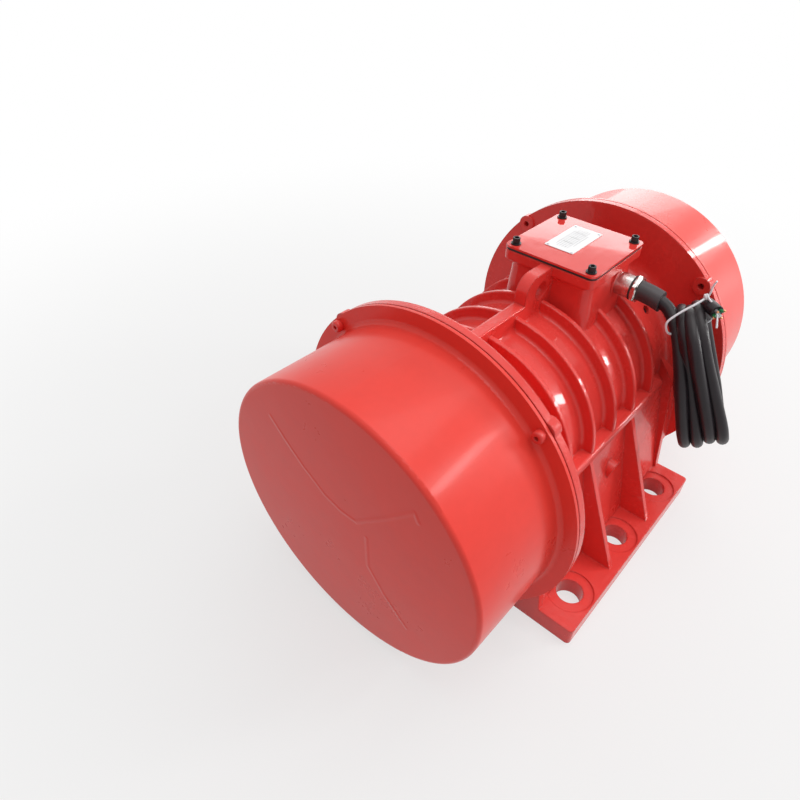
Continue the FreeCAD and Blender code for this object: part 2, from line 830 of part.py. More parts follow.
def stator_windings():
    """Bars in the slots, joined by a rounded ring of end turns on both sides."""
    inner = slot_bottom + slot_liner
    outer = inner + winding_wall
    end = stator_half_length + winding_overhang
    bars = slot_boxes(inner + winding_bar_step, slot_top - slot_liner, slot_width - 2 * slot_liner,
                      stator_half_length + 2)
    rings = []
    for side in (-1, 1):
        x0 = side * (stator_half_length + slot_liner)
        x1 = side * end
        rings.append(turned([(x0, inner), (x0, outer), (x1, outer, winding_round),
                             (x1, inner, winding_round)]))
    return joined(rings + bars)


nodes["stator_core"] = stator_core()
nodes["stator_windings"] = stator_windings()

# --- rotor -------------------------------------------------------------------
fixed_weight_end = weight_start + fixed_weight_thickness
disc_end = fixed_weight_end + scale_disc_thickness
adjust_start = disc_end + weight_gap
adjust_end = adjust_start + adjustable_weight_thickness
shaft_end = adjust_end + weight_gap
key_seat_z = shaft_height + shaft_weight_radius - key_depth
key_middle = weight_start + fixed_weight_thickness / 2
weight_radius = cover_radius - cover_wall - weight_cover_gap


def key_block(clearance=0.0):
    half_width = key_width / 2 + clearance
    half_length = key_length / 2 + clearance
    return box(key_middle - half_length, key_middle + half_length, -half_width, half_width,
               key_seat_z, key_seat_z + key_height + clearance)


def shaft():
    half = [(0, shaft_core_radius), (shaft_core_half_length, shaft_core_radius),
            (shaft_core_half_length, shaft_shoulder_radius),
            (bearing_start, shaft_shoulder_radius), (bearing_start, shaft_bearing_radius),
            (weight_start, shaft_bearing_radius), (weight_start, shaft_weight_radius),
            (shaft_end, shaft_weight_radius, 1.5), (shaft_end, 0), (0, 0)]
    tapped = rod_x(end_bolt_radius + thread_clearance, shaft_end - end_bolt_depth, shaft_end + 1)
    right = turned(half).cut(key_block(seat_clearance)).cut(tapped)
    return right.fuse(mirrored_x(right)).removeSplitter()


def rotor_end_rings():
    outer = rotor_radius - air_gap
    ring = tube_x(outer, outer - rotor_end_ring_wall, rotor_half_length,
                  rotor_half_length + rotor_end_ring_length)
    return Part.makeCompound([ring, mirrored_x(ring)])


def weight_plate(x0, x1, bore):
    """Sector of a disc that hangs below the shaft, round its hub."""
    angle = math.radians(weight_half_angle)
    across = weight_radius * math.sin(angle)
    down = shaft_height - weight_radius * math.cos(angle)
    left = V(x0, -across, down)
    right = V(x0, across, down)
    hub_left = V(x0, -weight_hub_radius, shaft_height)
    hub_right = V(x0, weight_hub_radius, shaft_height)
    edges = [Part.Arc(left, V(x0, 0, shaft_height - weight_radius), right).toShape(),
             Part.LineSegment(right, hub_right).toShape(),
             Part.LineSegment(hub_right, hub_left).toShape(),
             Part.LineSegment(hub_left, left).toShape()]
    sector = Part.Face(Part.Wire(edges)).extrude(V(x1 - x0, 0, 0))
    corners = [edge for edge in sector.Edges
               if abs(edge.Length - (x1 - x0)) < 1e-6 and edge.BoundBox.ZMax < shaft_height - 1]
    sector = sector.makeFillet(weight_corner, corners)
    plate = sector.fuse(rod_x(weight_hub_radius, x0, x1)).removeSplitter()
    return plate.cut(rod_x(bore, x0 - 1, x1 + 1))


def fixed_weight():
    plate = weight_plate(weight_start, fixed_weight_end, shaft_weight_radius + seat_clearance)
    half_width = key_width / 2 + seat_clearance
    return plate.cut(box(weight_start - 1, fixed_weight_end + 1, -half_width, half_width,
                         shaft_height, key_seat_z + key_height + seat_clearance))


def adjustable_weight():
    """Same sector with a split hub, flats and a cross hole for the clamp bolt."""
    plate = weight_plate(adjust_start, adjust_end, shaft_weight_radius + running_clearance)
    middle = (adjust_start + adjust_end) / 2
    bolt_z = shaft_height + clamp_bolt_height
    slit = box(adjust_start - 1, adjust_end + 1, -clamp_slit / 2, clamp_slit / 2,
               shaft_height + shaft_bearing_radius / 2, shaft_height + weight_hub_radius + 1)
    cuts = [slit, rod_y(clamp_bolt_radius + hole_clearance, -weight_hub_radius, weight_hub_radius,
                        middle, bolt_z)]
    seat_z = bolt_z - clamp_bolt_across_flats / math.sqrt(3) - hole_clearance
    for side in (-1, 1):
        y0 = min(side * clamp_flat, side * (weight_hub_radius + 1))
        cuts.append(box(adjust_start - 1, adjust_end + 1, y0,
                        y0 + weight_hub_radius + 1 - clamp_flat, seat_z,
                        shaft_height + weight_hub_radius + 1))
    return drilled(plate, cuts)


def clamp_bolt():
    """Hexagon bolt across the split hub, with its nut on the other flat."""
    middle = (adjust_start + adjust_end) / 2
    z = shaft_height + clamp_bolt_height
    shank = rod_y(clamp_bolt_radius, -clamp_flat, clamp_flat, middle, z)
    head = hexagon(clamp_bolt_across_flats, V(middle, -clamp_flat, z), V(0, -1, 0), clamp_bolt_head)
    nut = hexagon(clamp_bolt_across_flats, V(middle, clamp_flat, z), V(0, 1, 0), clamp_bolt_head)
    return shank.multiFuse([head, nut])


def end_bolt():
    tip = V(shaft_end - end_bolt_depth, 0, shaft_height)
    return hex_bolt(tip, along_x, end_bolt_radius, end_bolt_depth + end_washer_thickness,
                    end_bolt_across_flats, end_bolt_head)


nodes["shaft"] = shaft()
nodes["rotor_core"] = tube_x(rotor_radius, shaft_core_radius + seat_clearance, -rotor_half_length,
                             rotor_half_length)
nodes["rotor_end_rings"] = rotor_end_rings()
nodes["fixed_weight_right"] = fixed_weight()
nodes["scale_disc_right"] = tube_x(scale_disc_radius, shaft_weight_radius + seat_clearance,
                                   fixed_weight_end, disc_end)
nodes["adjustable_weight_right"] = adjustable_weight()
nodes["clamp_bolt_right"] = clamp_bolt()
end_washer = tube_x(end_washer_radius, end_bolt_radius + hole_clearance, shaft_end,
                    shaft_end + end_washer_thickness)

# --- both ends are alike -----------------------------------------------------
for name in [name for name in nodes if name.endswith("_right")]:
    nodes[name.replace("_right", "_left")] = mirrored_x(nodes[name])

shared = {"cover_screws": cover_screws(), "shield_bolts": shield_bolts(),
          "bearing_cap_screws": bearing_cap_screws(), "weight_keys": key_block(),
          "shaft_end_washers": end_washer, "shaft_end_bolts": end_bolt()}
for name, shape in shared.items():
    nodes[name] = Part.makeCompound([shape, mirrored_x(shape)])

# --- terminal cover, nameplate and terminals ---------------------------------
gasket_top_z = box_top_z + gasket_thickness
cover_top_z = gasket_top_z + box_cover_thickness
plate_top_z = cover_top_z + plate_thickness
washer_top_z = cover_top_z + box_washer_thickness


def screw_clearance_holes(z0, z1):
    return [rod_z(box_screw_radius + hole_clearance, z0 - 1, z1 + 1, x, y) for x, y in screw_spots()]


def terminal_gasket():
    ring = rounded_block(box_centre_x, 0, box_length - 2 * gasket_step, box_width - 2 * gasket_step,
                         box_corner, box_top_z, gasket_top_z)
    inside = cavity_shape(box_top_z - 1, gasket_top_z + 1)
    return drilled(ring, [inside] + screw_clearance_holes(box_top_z, gasket_top_z))


def terminal_cover():
    plate = rounded_block(box_centre_x, 0, box_length, box_width, box_corner, gasket_top_z, cover_top_z)
    return drilled(plate, screw_clearance_holes(gasket_top_z, cover_top_z))


def terminal_cover_washers():
    discs = [rod_z(box_washer_radius, cover_top_z, washer_top_z, x, y) for x, y in screw_spots()]
    holes = screw_clearance_holes(cover_top_z, washer_top_z)
    return Part.makeCompound([disc.cut(hole) for disc, hole in zip(discs, holes)])


def terminal_cover_screws():
    tip_z = box_top_z - box_screw_depth
    return Part.makeCompound([socket_screw(V(x, y, tip_z), along_z, box_screw_radius,
                                           washer_top_z - tip_z, box_screw_head_radius,
                                           box_screw_head_height, box_screw_socket)
                              for x, y in screw_spots()])


def nameplate_rivets():
    rivets = []
    for side_x in (-1, 1):
        for side_y in (-1, 1):
            x = plate_centre_x + side_x * (plate_length / 2 - rivet_inset)
            y = plate_centre_y + side_y * (plate_width / 2 - rivet_inset)
            rivets.append(rod_z(rivet_radius, plate_top_z, plate_top_z + rivet_height, x, y))
    return Part.makeCompound(rivets)


block_x = box_centre_x - neck_length / 2 + box_wall + terminal_block_gap + terminal_block_length / 2
block_top_z = box_floor_z + terminal_block_height


def terminal_studs():
    """Six studs with their nuts, in two rows along the block."""
    studs = []
    for row in (-1, 1):
        for place in (-1, 0, 1):
            x = block_x + row * stud_pitch_x / 2
            y = place * stud_pitch_y
            stud = rod_z(stud_radius, block_top_z, block_top_z + stud_height, x, y)
            nut = hexagon(stud_nut_across_flats, V(x, y, block_top_z), along_z, stud_nut_height)
            studs.append(stud.fuse(nut))
    return Part.makeCompound(studs)


nodes["terminal_gasket"] = terminal_gasket()
nodes["terminal_cover"] = terminal_cover()
nodes["terminal_cover_washers"] = terminal_cover_washers()
nodes["terminal_cover_screws"] = terminal_cover_screws()
nodes["nameplate"] = rounded_block(plate_centre_x, plate_centre_y, plate_length, plate_width,
                                   plate_corner, cover_top_z, plate_top_z)
nodes["nameplate_rivets"] = nameplate_rivets()
nodes["terminal_block"] = rounded_block(block_x, 0, terminal_block_length, terminal_block_width, 3.0,
                                        box_floor_z, block_top_z)
nodes["terminal_studs"] = terminal_studs()
nodes["earth_screw"] = socket_screw(V(earth_screw_x, earth_screw_y, box_floor_z - earth_screw_length),
                                    along_z, box_screw_radius, earth_screw_length,
                                    box_screw_head_radius, box_screw_head_height, box_screw_socket)


# --- grease ports ------------------------------------------------------------
def grease_plugs():
    """Threaded plugs sunk in the two grease ports."""
    top = shaft_height + body_radius - grease_plug_depth
    bottom = shaft_height + bore_radius + seat_clearance
    plug = Part.makeCylinder(grease_hole_radius, top - bottom, V(grease_x, 0, bottom), along_z)
    socket = hexagon(grease_plug_socket, V(grease_x, 0, (top + bottom) / 2), along_z, top - bottom)
    plug = around_shaft(plug.cut(socket), grease_angle)
    return Part.makeCompound([plug, mirrored_x(plug)])


nodes["grease_plugs"] = grease_plugs()

# --- cable gland and supply cable --------------------------------------------
gland_seal_y = gland_seat_y - gland_body_length
gland_nut_y = gland_seal_y - gland_seal_thickness
gland_end_y = gland_nut_y - gland_nut_length
box_inner_y = box_face_y + box_wall


def gland_body():
    """Threaded neck through the box wall and round body outside it."""
    neck = rod_y(gland_thread_radius, gland_seat_y, box_inner_y + gland_locknut_length + 2.0,
                 gland_x, gland_z)
    outside = rod_y(gland_body_radius, gland_seal_y, gland_seat_y, gland_x, gland_z)
    return neck.fuse(outside)


def gland_locknut():
    nut = hexagon(gland_nut_across_flats, V(gland_x, box_inner_y, gland_z), along_y,
                  gland_locknut_length)
    return nut.cut(rod_y(gland_thread_radius + thread_clearance, box_inner_y - 1,
                         box_inner_y + gland_locknut_length + 1, gland_x, gland_z))


nodes["cable_gland_body"] = gland_body()
nodes["cable_gland_seal"] = rod_y(gland_seal_radius, gland_nut_y, gland_seal_y, gland_x, gland_z)
nodes["cable_gland_nut"] = hexagon(gland_nut_across_flats, V(gland_x, gland_nut_y, gland_z),
                                   V(0, -1, 0), gland_nut_length)
nodes["cable_gland_locknut"] = gland_locknut()


def bent_path(points):
    """Wire along the points with an arc at each inner point, as large as its two runs allow."""
    edges = []
    radii = []
    start = points[0]
    for i in range(1, len(points) - 1):
        back = points[i - 1] - points[i]
        ahead = points[i + 1] - points[i]
        half_turn = (math.pi - back.getAngle(ahead)) / 2
        reach = 0.45 * min(back.Length, ahead.Length)
        radius = reach / math.tan(half_turn)
        entry = points[i] + back.normalize() * reach
        leave = points[i] + ahead.normalize() * reach
        bisector = (back + ahead).normalize()
        middle = points[i] + bisector * (radius / math.cos(half_turn) - radius)
        edges.append(Part.LineSegment(start, entry).toShape())
        edges.append(Part.Arc(entry, middle, leave).toShape())
        radii.append(radius)
        start = leave
    edges.append(Part.LineSegment(start, points[-1]).toShape())
    return Part.Wire(edges), radii


def swept(points, radius):
    """Round solid of a radius along the points, its bend radii and the length of its path."""
    path, radii = bent_path(points)
    circle = Part.Wire(Part.makeCircle(radius, points[0], points[1] - points[0]))
    return path.makePipeShell([circle], True, True), radii, path.Length


# From the gland the cable droops into the top of the hank; the sleeve lies on its first stretch.
cable_points = [V(97.0, -86.3, 341.3), V(97.0, -104.5, 339.8), V(97.8, -122.5, 335.5),
                V(100.2, -139.2, 329.2)]

supply_cable, cable_radii, cable_length = swept(cable_points, cable_radius)
section_volume = math.pi * cable_radius ** 2 * cable_length
print("supply cable: bend radii", [round(radius, 1) for radius in cable_radii],
      "length", round(cable_length, 1),
      "volume over section times length", round(supply_cable.Volume / section_volume, 4))
nodes["supply_cable"] = supply_cable

sleeve_outer = swept(cable_points, cable_radius + sleeve_wall)[0]
sleeve_inner = swept(cable_points, cable_radius + seat_clearance)[0]
sleeve_zone = box(0, 2 * gland_x, gland_end_y - sleeve_length, gland_end_y, 0, 3 * shaft_height)
nodes["cable_sleeve"] = sleeve_outer.cut(sleeve_inner).common(sleeve_zone)

# The hank is an oblong coil that hangs from its top fold, slightly outwards, and spreads below.
hank_top = V(90.3, -150.5, 350.6)
hank_bottom = V(129.3, -224.3, 151.6)
hank_loop_direction = V(0.897, 0.443, 0.012)
hank_half_width = 56.0
hank_inner_half_width = 26.0
hank_top_half = 17.0          # half thickness at the top fold
hank_bottom_half = 27.0       # half thickness at the lower fold
hank_edge = 12.0
hank_length = (hank_bottom - hank_top).Length
hank_down = (hank_bottom - hank_top).normalize()
hank_side = (hank_loop_direction - hank_down * hank_loop_direction.dot(hank_down)).normalize()
hank_out = hank_down.cross(hank_side).normalize()


def hank_point(down, side, out):
    """Point of the hank, measured from the top of its upper fold."""
    return hank_top + hank_down * down + hank_side * side + hank_out * out


def hank_outline(half_width, out):
    """Oblong with round ends, centred in the hank."""
    upper = hank_half_width
    lower = hank_length - hank_half_width
    edges = [Part.Arc(hank_point(upper, -half_width, out), hank_point(upper - half_width, 0, out),
                      hank_point(upper, half_width, out)).toShape(),
             Part.LineSegment(hank_point(upper, half_width, out),
                              hank_point(lower, half_width, out)).toShape(),
             Part.Arc(hank_point(lower, half_width, out), hank_point(lower + half_width, 0, out),
                      hank_point(lower, -half_width, out)).toShape(),
             Part.LineSegment(hank_point(lower, -half_width, out),
                              hank_point(upper, -half_width, out)).toShape()]
    return Part.Wire(edges)


def cable_hank():
    out = -hank_bottom_half
    across = hank_out * (2 * hank_bottom_half)
    ring = Part.Face(hank_outline(hank_half_width, out)).extrude(across)
    ring = ring.cut(Part.Face(hank_outline(hank_inner_half_width, out)).extrude(across))
    side = -hank_half_width - 1.0
    corners = [hank_point(0, side, -hank_top_half), hank_point(0, side, hank_top_half),
               hank_point(hank_length, side, hank_bottom_half),
               hank_point(hank_length, side, -hank_bottom_half)]
    taper = Part.Face(Part.makePolygon(corners + [corners[0]])).extrude(hank_side * (-2 * side))
    ring = ring.common(taper)
    return ring.makeFillet(hank_edge, ring.Edges)


nodes["cable_hank"] = cable_hank()

# The cut end leaves the hank below the top fold.
tail_points = [hank_point(26.0, -2.0, 6.0), hank_point(22.0, 2.0, 29.0)]
tail_direction = tail_points[1] - tail_points[0]
nodes["cable_tail"] = Part.makeCylinder(cable_radius, tail_direction.Length, tail_points[0],
                                        tail_direction)

# A plastic tie goes round the top fold.
tie_gap = 0.3
tie_wall = 1.6
tie_width = 5.0
tie_angle = -26.0             # round the fold, from its top

tie_up = (hank_side * math.sin(math.radians(tie_angle))
          - hank_down * math.cos(math.radians(tie_angle)))
tie_across = hank_out.cross(tie_up)


def tie_loop(grow):
    """Face of the tie's outline round the top fold, grown outwards by an amount."""
    centre = hank_point(hank_half_width, 0, 0) - tie_across * (tie_width / 2)
    half = hank_top_half + (hank_bottom_half - hank_top_half) * hank_half_width / hank_length + grow
    outer = centre + tie_up * (hank_half_width + grow)
    inner = centre + tie_up * (hank_inner_half_width - grow)
    points = [outer - hank_out * half, outer + hank_out * half, inner + hank_out * half,
              inner - hank_out * half]
    return Part.Face(rounded_wire(points, [hank_edge + grow] * 4))


def cable_tie():
    across = tie_across * tie_width
    return tie_loop(tie_gap + tie_wall).extrude(across).cut(tie_loop(tie_gap).extrude(across))


nodes["cable_tie"] = cable_tie()

# --- files -------------------------------------------------------------------
os.makedirs("parts", exist_ok=True)
for name, shape in nodes.items():
    shape.exportStep("parts/" + name + ".step")
print(len(nodes), "nodes,", sum(len(shape.Solids) for shape in nodes.values()), "solids")
for name, shape in nodes.items():
    if not shape.isValid():
        print("not valid:", name)
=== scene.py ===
import json
import math
import bmesh
import bpy
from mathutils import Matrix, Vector


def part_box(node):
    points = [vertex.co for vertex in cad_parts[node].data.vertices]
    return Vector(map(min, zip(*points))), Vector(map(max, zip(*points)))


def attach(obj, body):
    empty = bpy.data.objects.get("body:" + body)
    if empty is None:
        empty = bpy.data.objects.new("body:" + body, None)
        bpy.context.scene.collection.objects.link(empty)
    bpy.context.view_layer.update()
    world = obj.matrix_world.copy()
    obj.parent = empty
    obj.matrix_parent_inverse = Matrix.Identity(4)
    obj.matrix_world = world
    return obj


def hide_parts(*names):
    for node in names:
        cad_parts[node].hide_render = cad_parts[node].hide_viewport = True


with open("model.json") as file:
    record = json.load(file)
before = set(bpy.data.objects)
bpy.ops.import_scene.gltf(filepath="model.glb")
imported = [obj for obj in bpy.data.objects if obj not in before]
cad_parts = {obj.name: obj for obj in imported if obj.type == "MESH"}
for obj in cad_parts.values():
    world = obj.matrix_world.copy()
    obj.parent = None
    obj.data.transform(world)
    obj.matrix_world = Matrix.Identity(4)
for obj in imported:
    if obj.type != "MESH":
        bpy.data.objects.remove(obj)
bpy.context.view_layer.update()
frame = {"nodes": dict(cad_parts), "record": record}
record = frame["record"]
housing = "housing"
print("stage 1: frame loaded")

# camera
cameraSetup = {
    "location": (-0.5931, -0.3156, 0.7123),
    "rotation": (47.315, -1.826, -49.298),   # degrees
    "lens": 26.95,
    "sensor": 36.0,
    "shift": (-0.034, 0.0375),
    "nearClip": 0.01,
}


def makeCamera(setup):
    data = bpy.data.cameras.new("camera")
    data.lens = setup["lens"]
    data.sensor_width = setup["sensor"]
    data.shift_x, data.shift_y = setup["shift"]
    data.clip_start = setup["nearClip"]
    camera = bpy.data.objects.new("camera", data)
    camera.location = setup["location"]
    camera.rotation_euler = [math.radians(angle) for angle in setup["rotation"]]
    bpy.context.scene.collection.objects.link(camera)
    bpy.context.scene.camera = camera


makeCamera(cameraSetup)


# shader groups
def makeGroup(name, inputs, outputs):
    group = bpy.data.node_groups.new(name, "ShaderNodeTree")
    for label, kind, value in inputs:
        socket = group.interface.new_socket(name=label, in_out="INPUT", socket_type=kind)
        socket.default_value = value
    for label, kind in outputs:
        group.interface.new_socket(name=label, in_out="OUTPUT", socket_type=kind)
    start = group.nodes.new("NodeGroupInput")
    end = group.nodes.new("NodeGroupOutput")
    return group, start, end


def addMath(tree, operation, first, second, clamp=False):
    # each of the two may be a socket or a plain number
    node = tree.nodes.new("ShaderNodeMath")
    node.operation = operation
    node.use_clamp = clamp
    for socket, source in zip(node.inputs, (first, second)):
        if isinstance(source, (int, float)):
            socket.default_value = source
        else:
            tree.links.new(source, socket)
    return node.outputs[0]


def addNoise(group, start, factor, detail):
    # noise fixed to the object, at a multiple of the group's own scale
    place = group.nodes.new("ShaderNodeTexCoord")
    noise = group.nodes.new("ShaderNodeTexNoise")
    noise.inputs["Detail"].default_value = detail
    group.links.new(addMath(group, "MULTIPLY", start.outputs["Scale"], factor), noise.inputs["Scale"])
    group.links.new(place.outputs["Object"], noise.inputs["Vector"])
    return noise.outputs["Fac"]


toneShape = {"slowScale": 1.0, "slowDetail": 3.0, "fineScale": 9.0, "fineDetail": 4.0, "fineShare": 0.35,
             "darkest": 0.3, "brightest": 0.7}


def makeToneGroup(shape):
    # slow and fine changes of brightness over a colour
    group, start, end = makeGroup(
        "toneVariation",
        [("Color", "NodeSocketColor", (0.5, 0.5, 0.5, 1)), ("Amount", "NodeSocketFloat", 0.1),
         ("Scale", "NodeSocketFloat", 10.0)],
        [("Color", "NodeSocketColor"), ("Mask", "NodeSocketFloat")])
    both = group.nodes.new("ShaderNodeMix")
    both.data_type = "FLOAT"
    both.inputs[0].default_value = shape["fineShare"]
    group.links.new(addNoise(group, start, shape["slowScale"], shape["slowDetail"]), both.inputs[2])
    group.links.new(addNoise(group, start, shape["fineScale"], shape["fineDetail"]), both.inputs[3])
    spread = group.nodes.new("ShaderNodeMapRange")
    spread.inputs["From Min"].default_value = shape["darkest"]
    spread.inputs["From Max"].default_value = shape["brightest"]
    group.links.new(both.outputs[0], spread.inputs["Value"])
    gain = group.nodes.new("ShaderNodeMapRange")
    group.links.new(spread.outputs[0], gain.inputs["Value"])
    group.links.new(addMath(group, "SUBTRACT", 1.0, start.outputs["Amount"]), gain.inputs["To Min"])
    group.links.new(addMath(group, "ADD", 1.0, start.outputs["Amount"]), gain.inputs["To Max"])
    tint = group.nodes.new("ShaderNodeVectorMath")
    tint.operation = "SCALE"
    group.links.new(start.outputs["Color"], tint.inputs[0])
    group.links.new(gain.outputs[0], tint.inputs["Scale"])
    group.links.new(tint.outputs[0], end.inputs["Color"])
    group.links.new(spread.outputs[0], end.inputs["Mask"])
    return group


skinShape = {"rippleScale": 0.3, "rippleDetail": 2.0, "grainScale": 3.0, "grainDetail": 3.0,
             "edgeSamples": 4}


def makeSkinGroup(shape):
    # ripples and grain as a normal, with softened edges
    group, start, end = makeGroup(
        "surfaceSkin",
        [("Scale", "NodeSocketFloat", 100.0), ("Ripple", "NodeSocketFloat", 0.1),
         ("Grain", "NodeSocketFloat", 0.1), ("Depth", "NodeSocketFloat", 0.0003),
         ("Edge Radius", "NodeSocketFloat", 0.001)],
        [("Normal", "NodeSocketVector")])
    ripple = addNoise(group, start, shape["rippleScale"], shape["rippleDetail"])
    grain = addNoise(group, start, shape["grainScale"], shape["grainDetail"])
    rippleHeight = addMath(group, "MULTIPLY", ripple, start.outputs["Ripple"])
    grainHeight = addMath(group, "MULTIPLY", grain, start.outputs["Grain"])
    edge = group.nodes.new("ShaderNodeBevel")
    edge.samples = shape["edgeSamples"]
    group.links.new(start.outputs["Edge Radius"], edge.inputs["Radius"])
    bump = group.nodes.new("ShaderNodeBump")
    bump.inputs["Strength"].default_value = 1.0
    group.links.new(start.outputs["Depth"], bump.inputs["Distance"])
    group.links.new(addMath(group, "ADD", rippleHeight, grainHeight), bump.inputs["Height"])
    group.links.new(edge.outputs[0], bump.inputs["Normal"])
    group.links.new(bump.outputs[0], end.inputs["Normal"])
    return group


dustShape = {"patchScale": 1.0, "patchDetail": 5.0, "leastRise": 0.4}   # leastRise: of the face's normal


def makeDustGroup(shape):
    # pale dust that settles on faces that look up
    group, start, end = makeGroup(
        "settledDust",
        [("Color", "NodeSocketColor", (0.5, 0.5, 0.5, 1)), ("Amount", "NodeSocketFloat", 0.1),
         ("Dust", "NodeSocketColor", (0.6, 0.57, 0.52, 1)), ("Scale", "NodeSocketFloat", 20.0)],
        [("Color", "NodeSocketColor")])
    facing = group.nodes.new("ShaderNodeNewGeometry")
    split = group.nodes.new("ShaderNodeSeparateXYZ")
    group.links.new(facing.outputs["Normal"], split.inputs[0])
    upward = group.nodes.new("ShaderNodeMapRange")
    upward.inputs["From Min"].default_value = shape["leastRise"]
    group.links.new(split.outputs["Z"], upward.inputs["Value"])
    patches = addNoise(group, start, shape["patchScale"], shape["patchDetail"])
    mask = addMath(group, "MULTIPLY", upward.outputs[0], patches)
    share = addMath(group, "MULTIPLY", mask, start.outputs["Amount"])
    mix = group.nodes.new("ShaderNodeMix")
    mix.data_type = "RGBA"
    group.links.new(share, mix.inputs[0])
    group.links.new(start.outputs["Color"], mix.inputs[6])
    group.links.new(start.outputs["Dust"], mix.inputs[7])
    group.links.new(mix.outputs[2], end.inputs["Color"])
    return group


def makeCreaseGroup():
    # soft ridge along the straight line between two points
    group, start, end = makeGroup(
        "creaseLine",
        [("Start", "NodeSocketVector", (0, 0, 0)), ("Finish", "NodeSocketVector", (1, 0, 0)),
         ("Width", "NodeSocketFloat", 0.004)],
        [("Mask", "NodeSocketFloat")])
    place = group.nodes.new("ShaderNodeTexCoord")

    def vectorStep(operation, first, second):
        node = group.nodes.new("ShaderNodeVectorMath")
        node.operation = operation
        group.links.new(first, node.inputs[0])
        group.links.new(second, node.inputs[1])
        return node

    along = vectorStep("SUBTRACT", start.outputs["Finish"], start.outputs["Start"])
    away = vectorStep("SUBTRACT", place.outputs["Object"], start.outputs["Start"])
    reach = vectorStep("DOT_PRODUCT", away.outputs[0], along.outputs[0])
    whole = vectorStep("DOT_PRODUCT", along.outputs[0], along.outputs[0])
    foot = group.nodes.new("ShaderNodeVectorMath")
    foot.operation = "SCALE"
    group.links.new(along.outputs[0], foot.inputs[0])
    group.links.new(addMath(group, "DIVIDE", reach.outputs["Value"], whole.outputs["Value"], clamp=True),
                    foot.inputs["Scale"])
    gap = vectorStep("DISTANCE", away.outputs[0], foot.outputs[0])
    ridge = group.nodes.new("ShaderNodeMapRange")
    ridge.interpolation_type = "SMOOTHSTEP"
    ridge.inputs["To Min"].default_value = 1.0
    ridge.inputs["To Max"].default_value = 0.0
    group.links.new(gap.outputs["Value"], ridge.inputs["Value"])
    group.links.new(start.outputs["Width"], ridge.inputs["From Max"])
    group.links.new(ridge.outputs[0], end.inputs["Mask"])
    return group


toneVariation = makeToneGroup(toneShape)
surfaceSkin = makeSkinGroup(skinShape)
settledDust = makeDustGroup(dustShape)
creaseLine = makeCreaseGroup()


# materials
# what a finish has where its own line doesn't say otherwise; lengths in metres, scales per metre
plainLook = {"metallic": 0.0, "specular": 0.5, "coat": 0.0, "coatRoughness": 0.1, "glossSpread": 0.04,
             "tone": 0.06, "toneScale": 12.0, "skinScale": 300.0, "ripple": 0.2, "grain": 0.2,
             "depth": 0.0002, "edge": 0.0006, "dust": 0.0, "dustScale": 18.0}


def placeGroup(material, group, values):
    node = material.node_tree.nodes.new("ShaderNodeGroup")
    node.node_tree = group
    for label, value in values.items():
        node.inputs[label].default_value = value
    return node


def makeMaterial(name, ownLook):
    look = {**plainLook, **ownLook}
    material = bpy.data.materials.new(name)
    material.use_nodes = True
    tree = material.node_tree
    shader = tree.nodes["Principled BSDF"]
    tone = placeGroup(material, toneVariation, {"Color": (*look["color"], 1.0), "Amount": look["tone"],
                                                "Scale": look["toneScale"]})
    skin = placeGroup(material, surfaceSkin, {"Scale": look["skinScale"], "Ripple": look["ripple"],
                                              "Grain": look["grain"], "Depth": look["depth"],
                                              "Edge Radius": look["edge"]})
    top = tone.outputs["Color"]
    if look["dust"]:
        dust = placeGroup(material, settledDust, {"Amount": look["dust"], "Scale": look["dustScale"]})
        tree.links.new(top, dust.inputs["Color"])
        top = dust.outputs["Color"]
    tree.links.new(top, shader.inputs["Base Color"])
    gloss = tree.nodes.new("ShaderNodeMapRange")
    gloss.inputs["To Min"].default_value = look["roughness"] - look["glossSpread"]
    gloss.inputs["To Max"].default_value = look["roughness"] + look["glossSpread"]
    tree.links.new(tone.outputs["Mask"], gloss.inputs["Value"])
    tree.links.new(gloss.outputs[0], shader.inputs["Roughness"])
    tree.links.new(skin.outputs["Normal"], shader.inputs["Normal"])
    shader.inputs["Metallic"].default_value = look["metallic"]
    shader.inputs["Coat Weight"].default_value = look["coat"]
    shader.inputs["Coat Roughness"].default_value = look["coatRoughness"]
    shader.inputs["Specular IOR Level"].default_value = look["specular"]
    return material


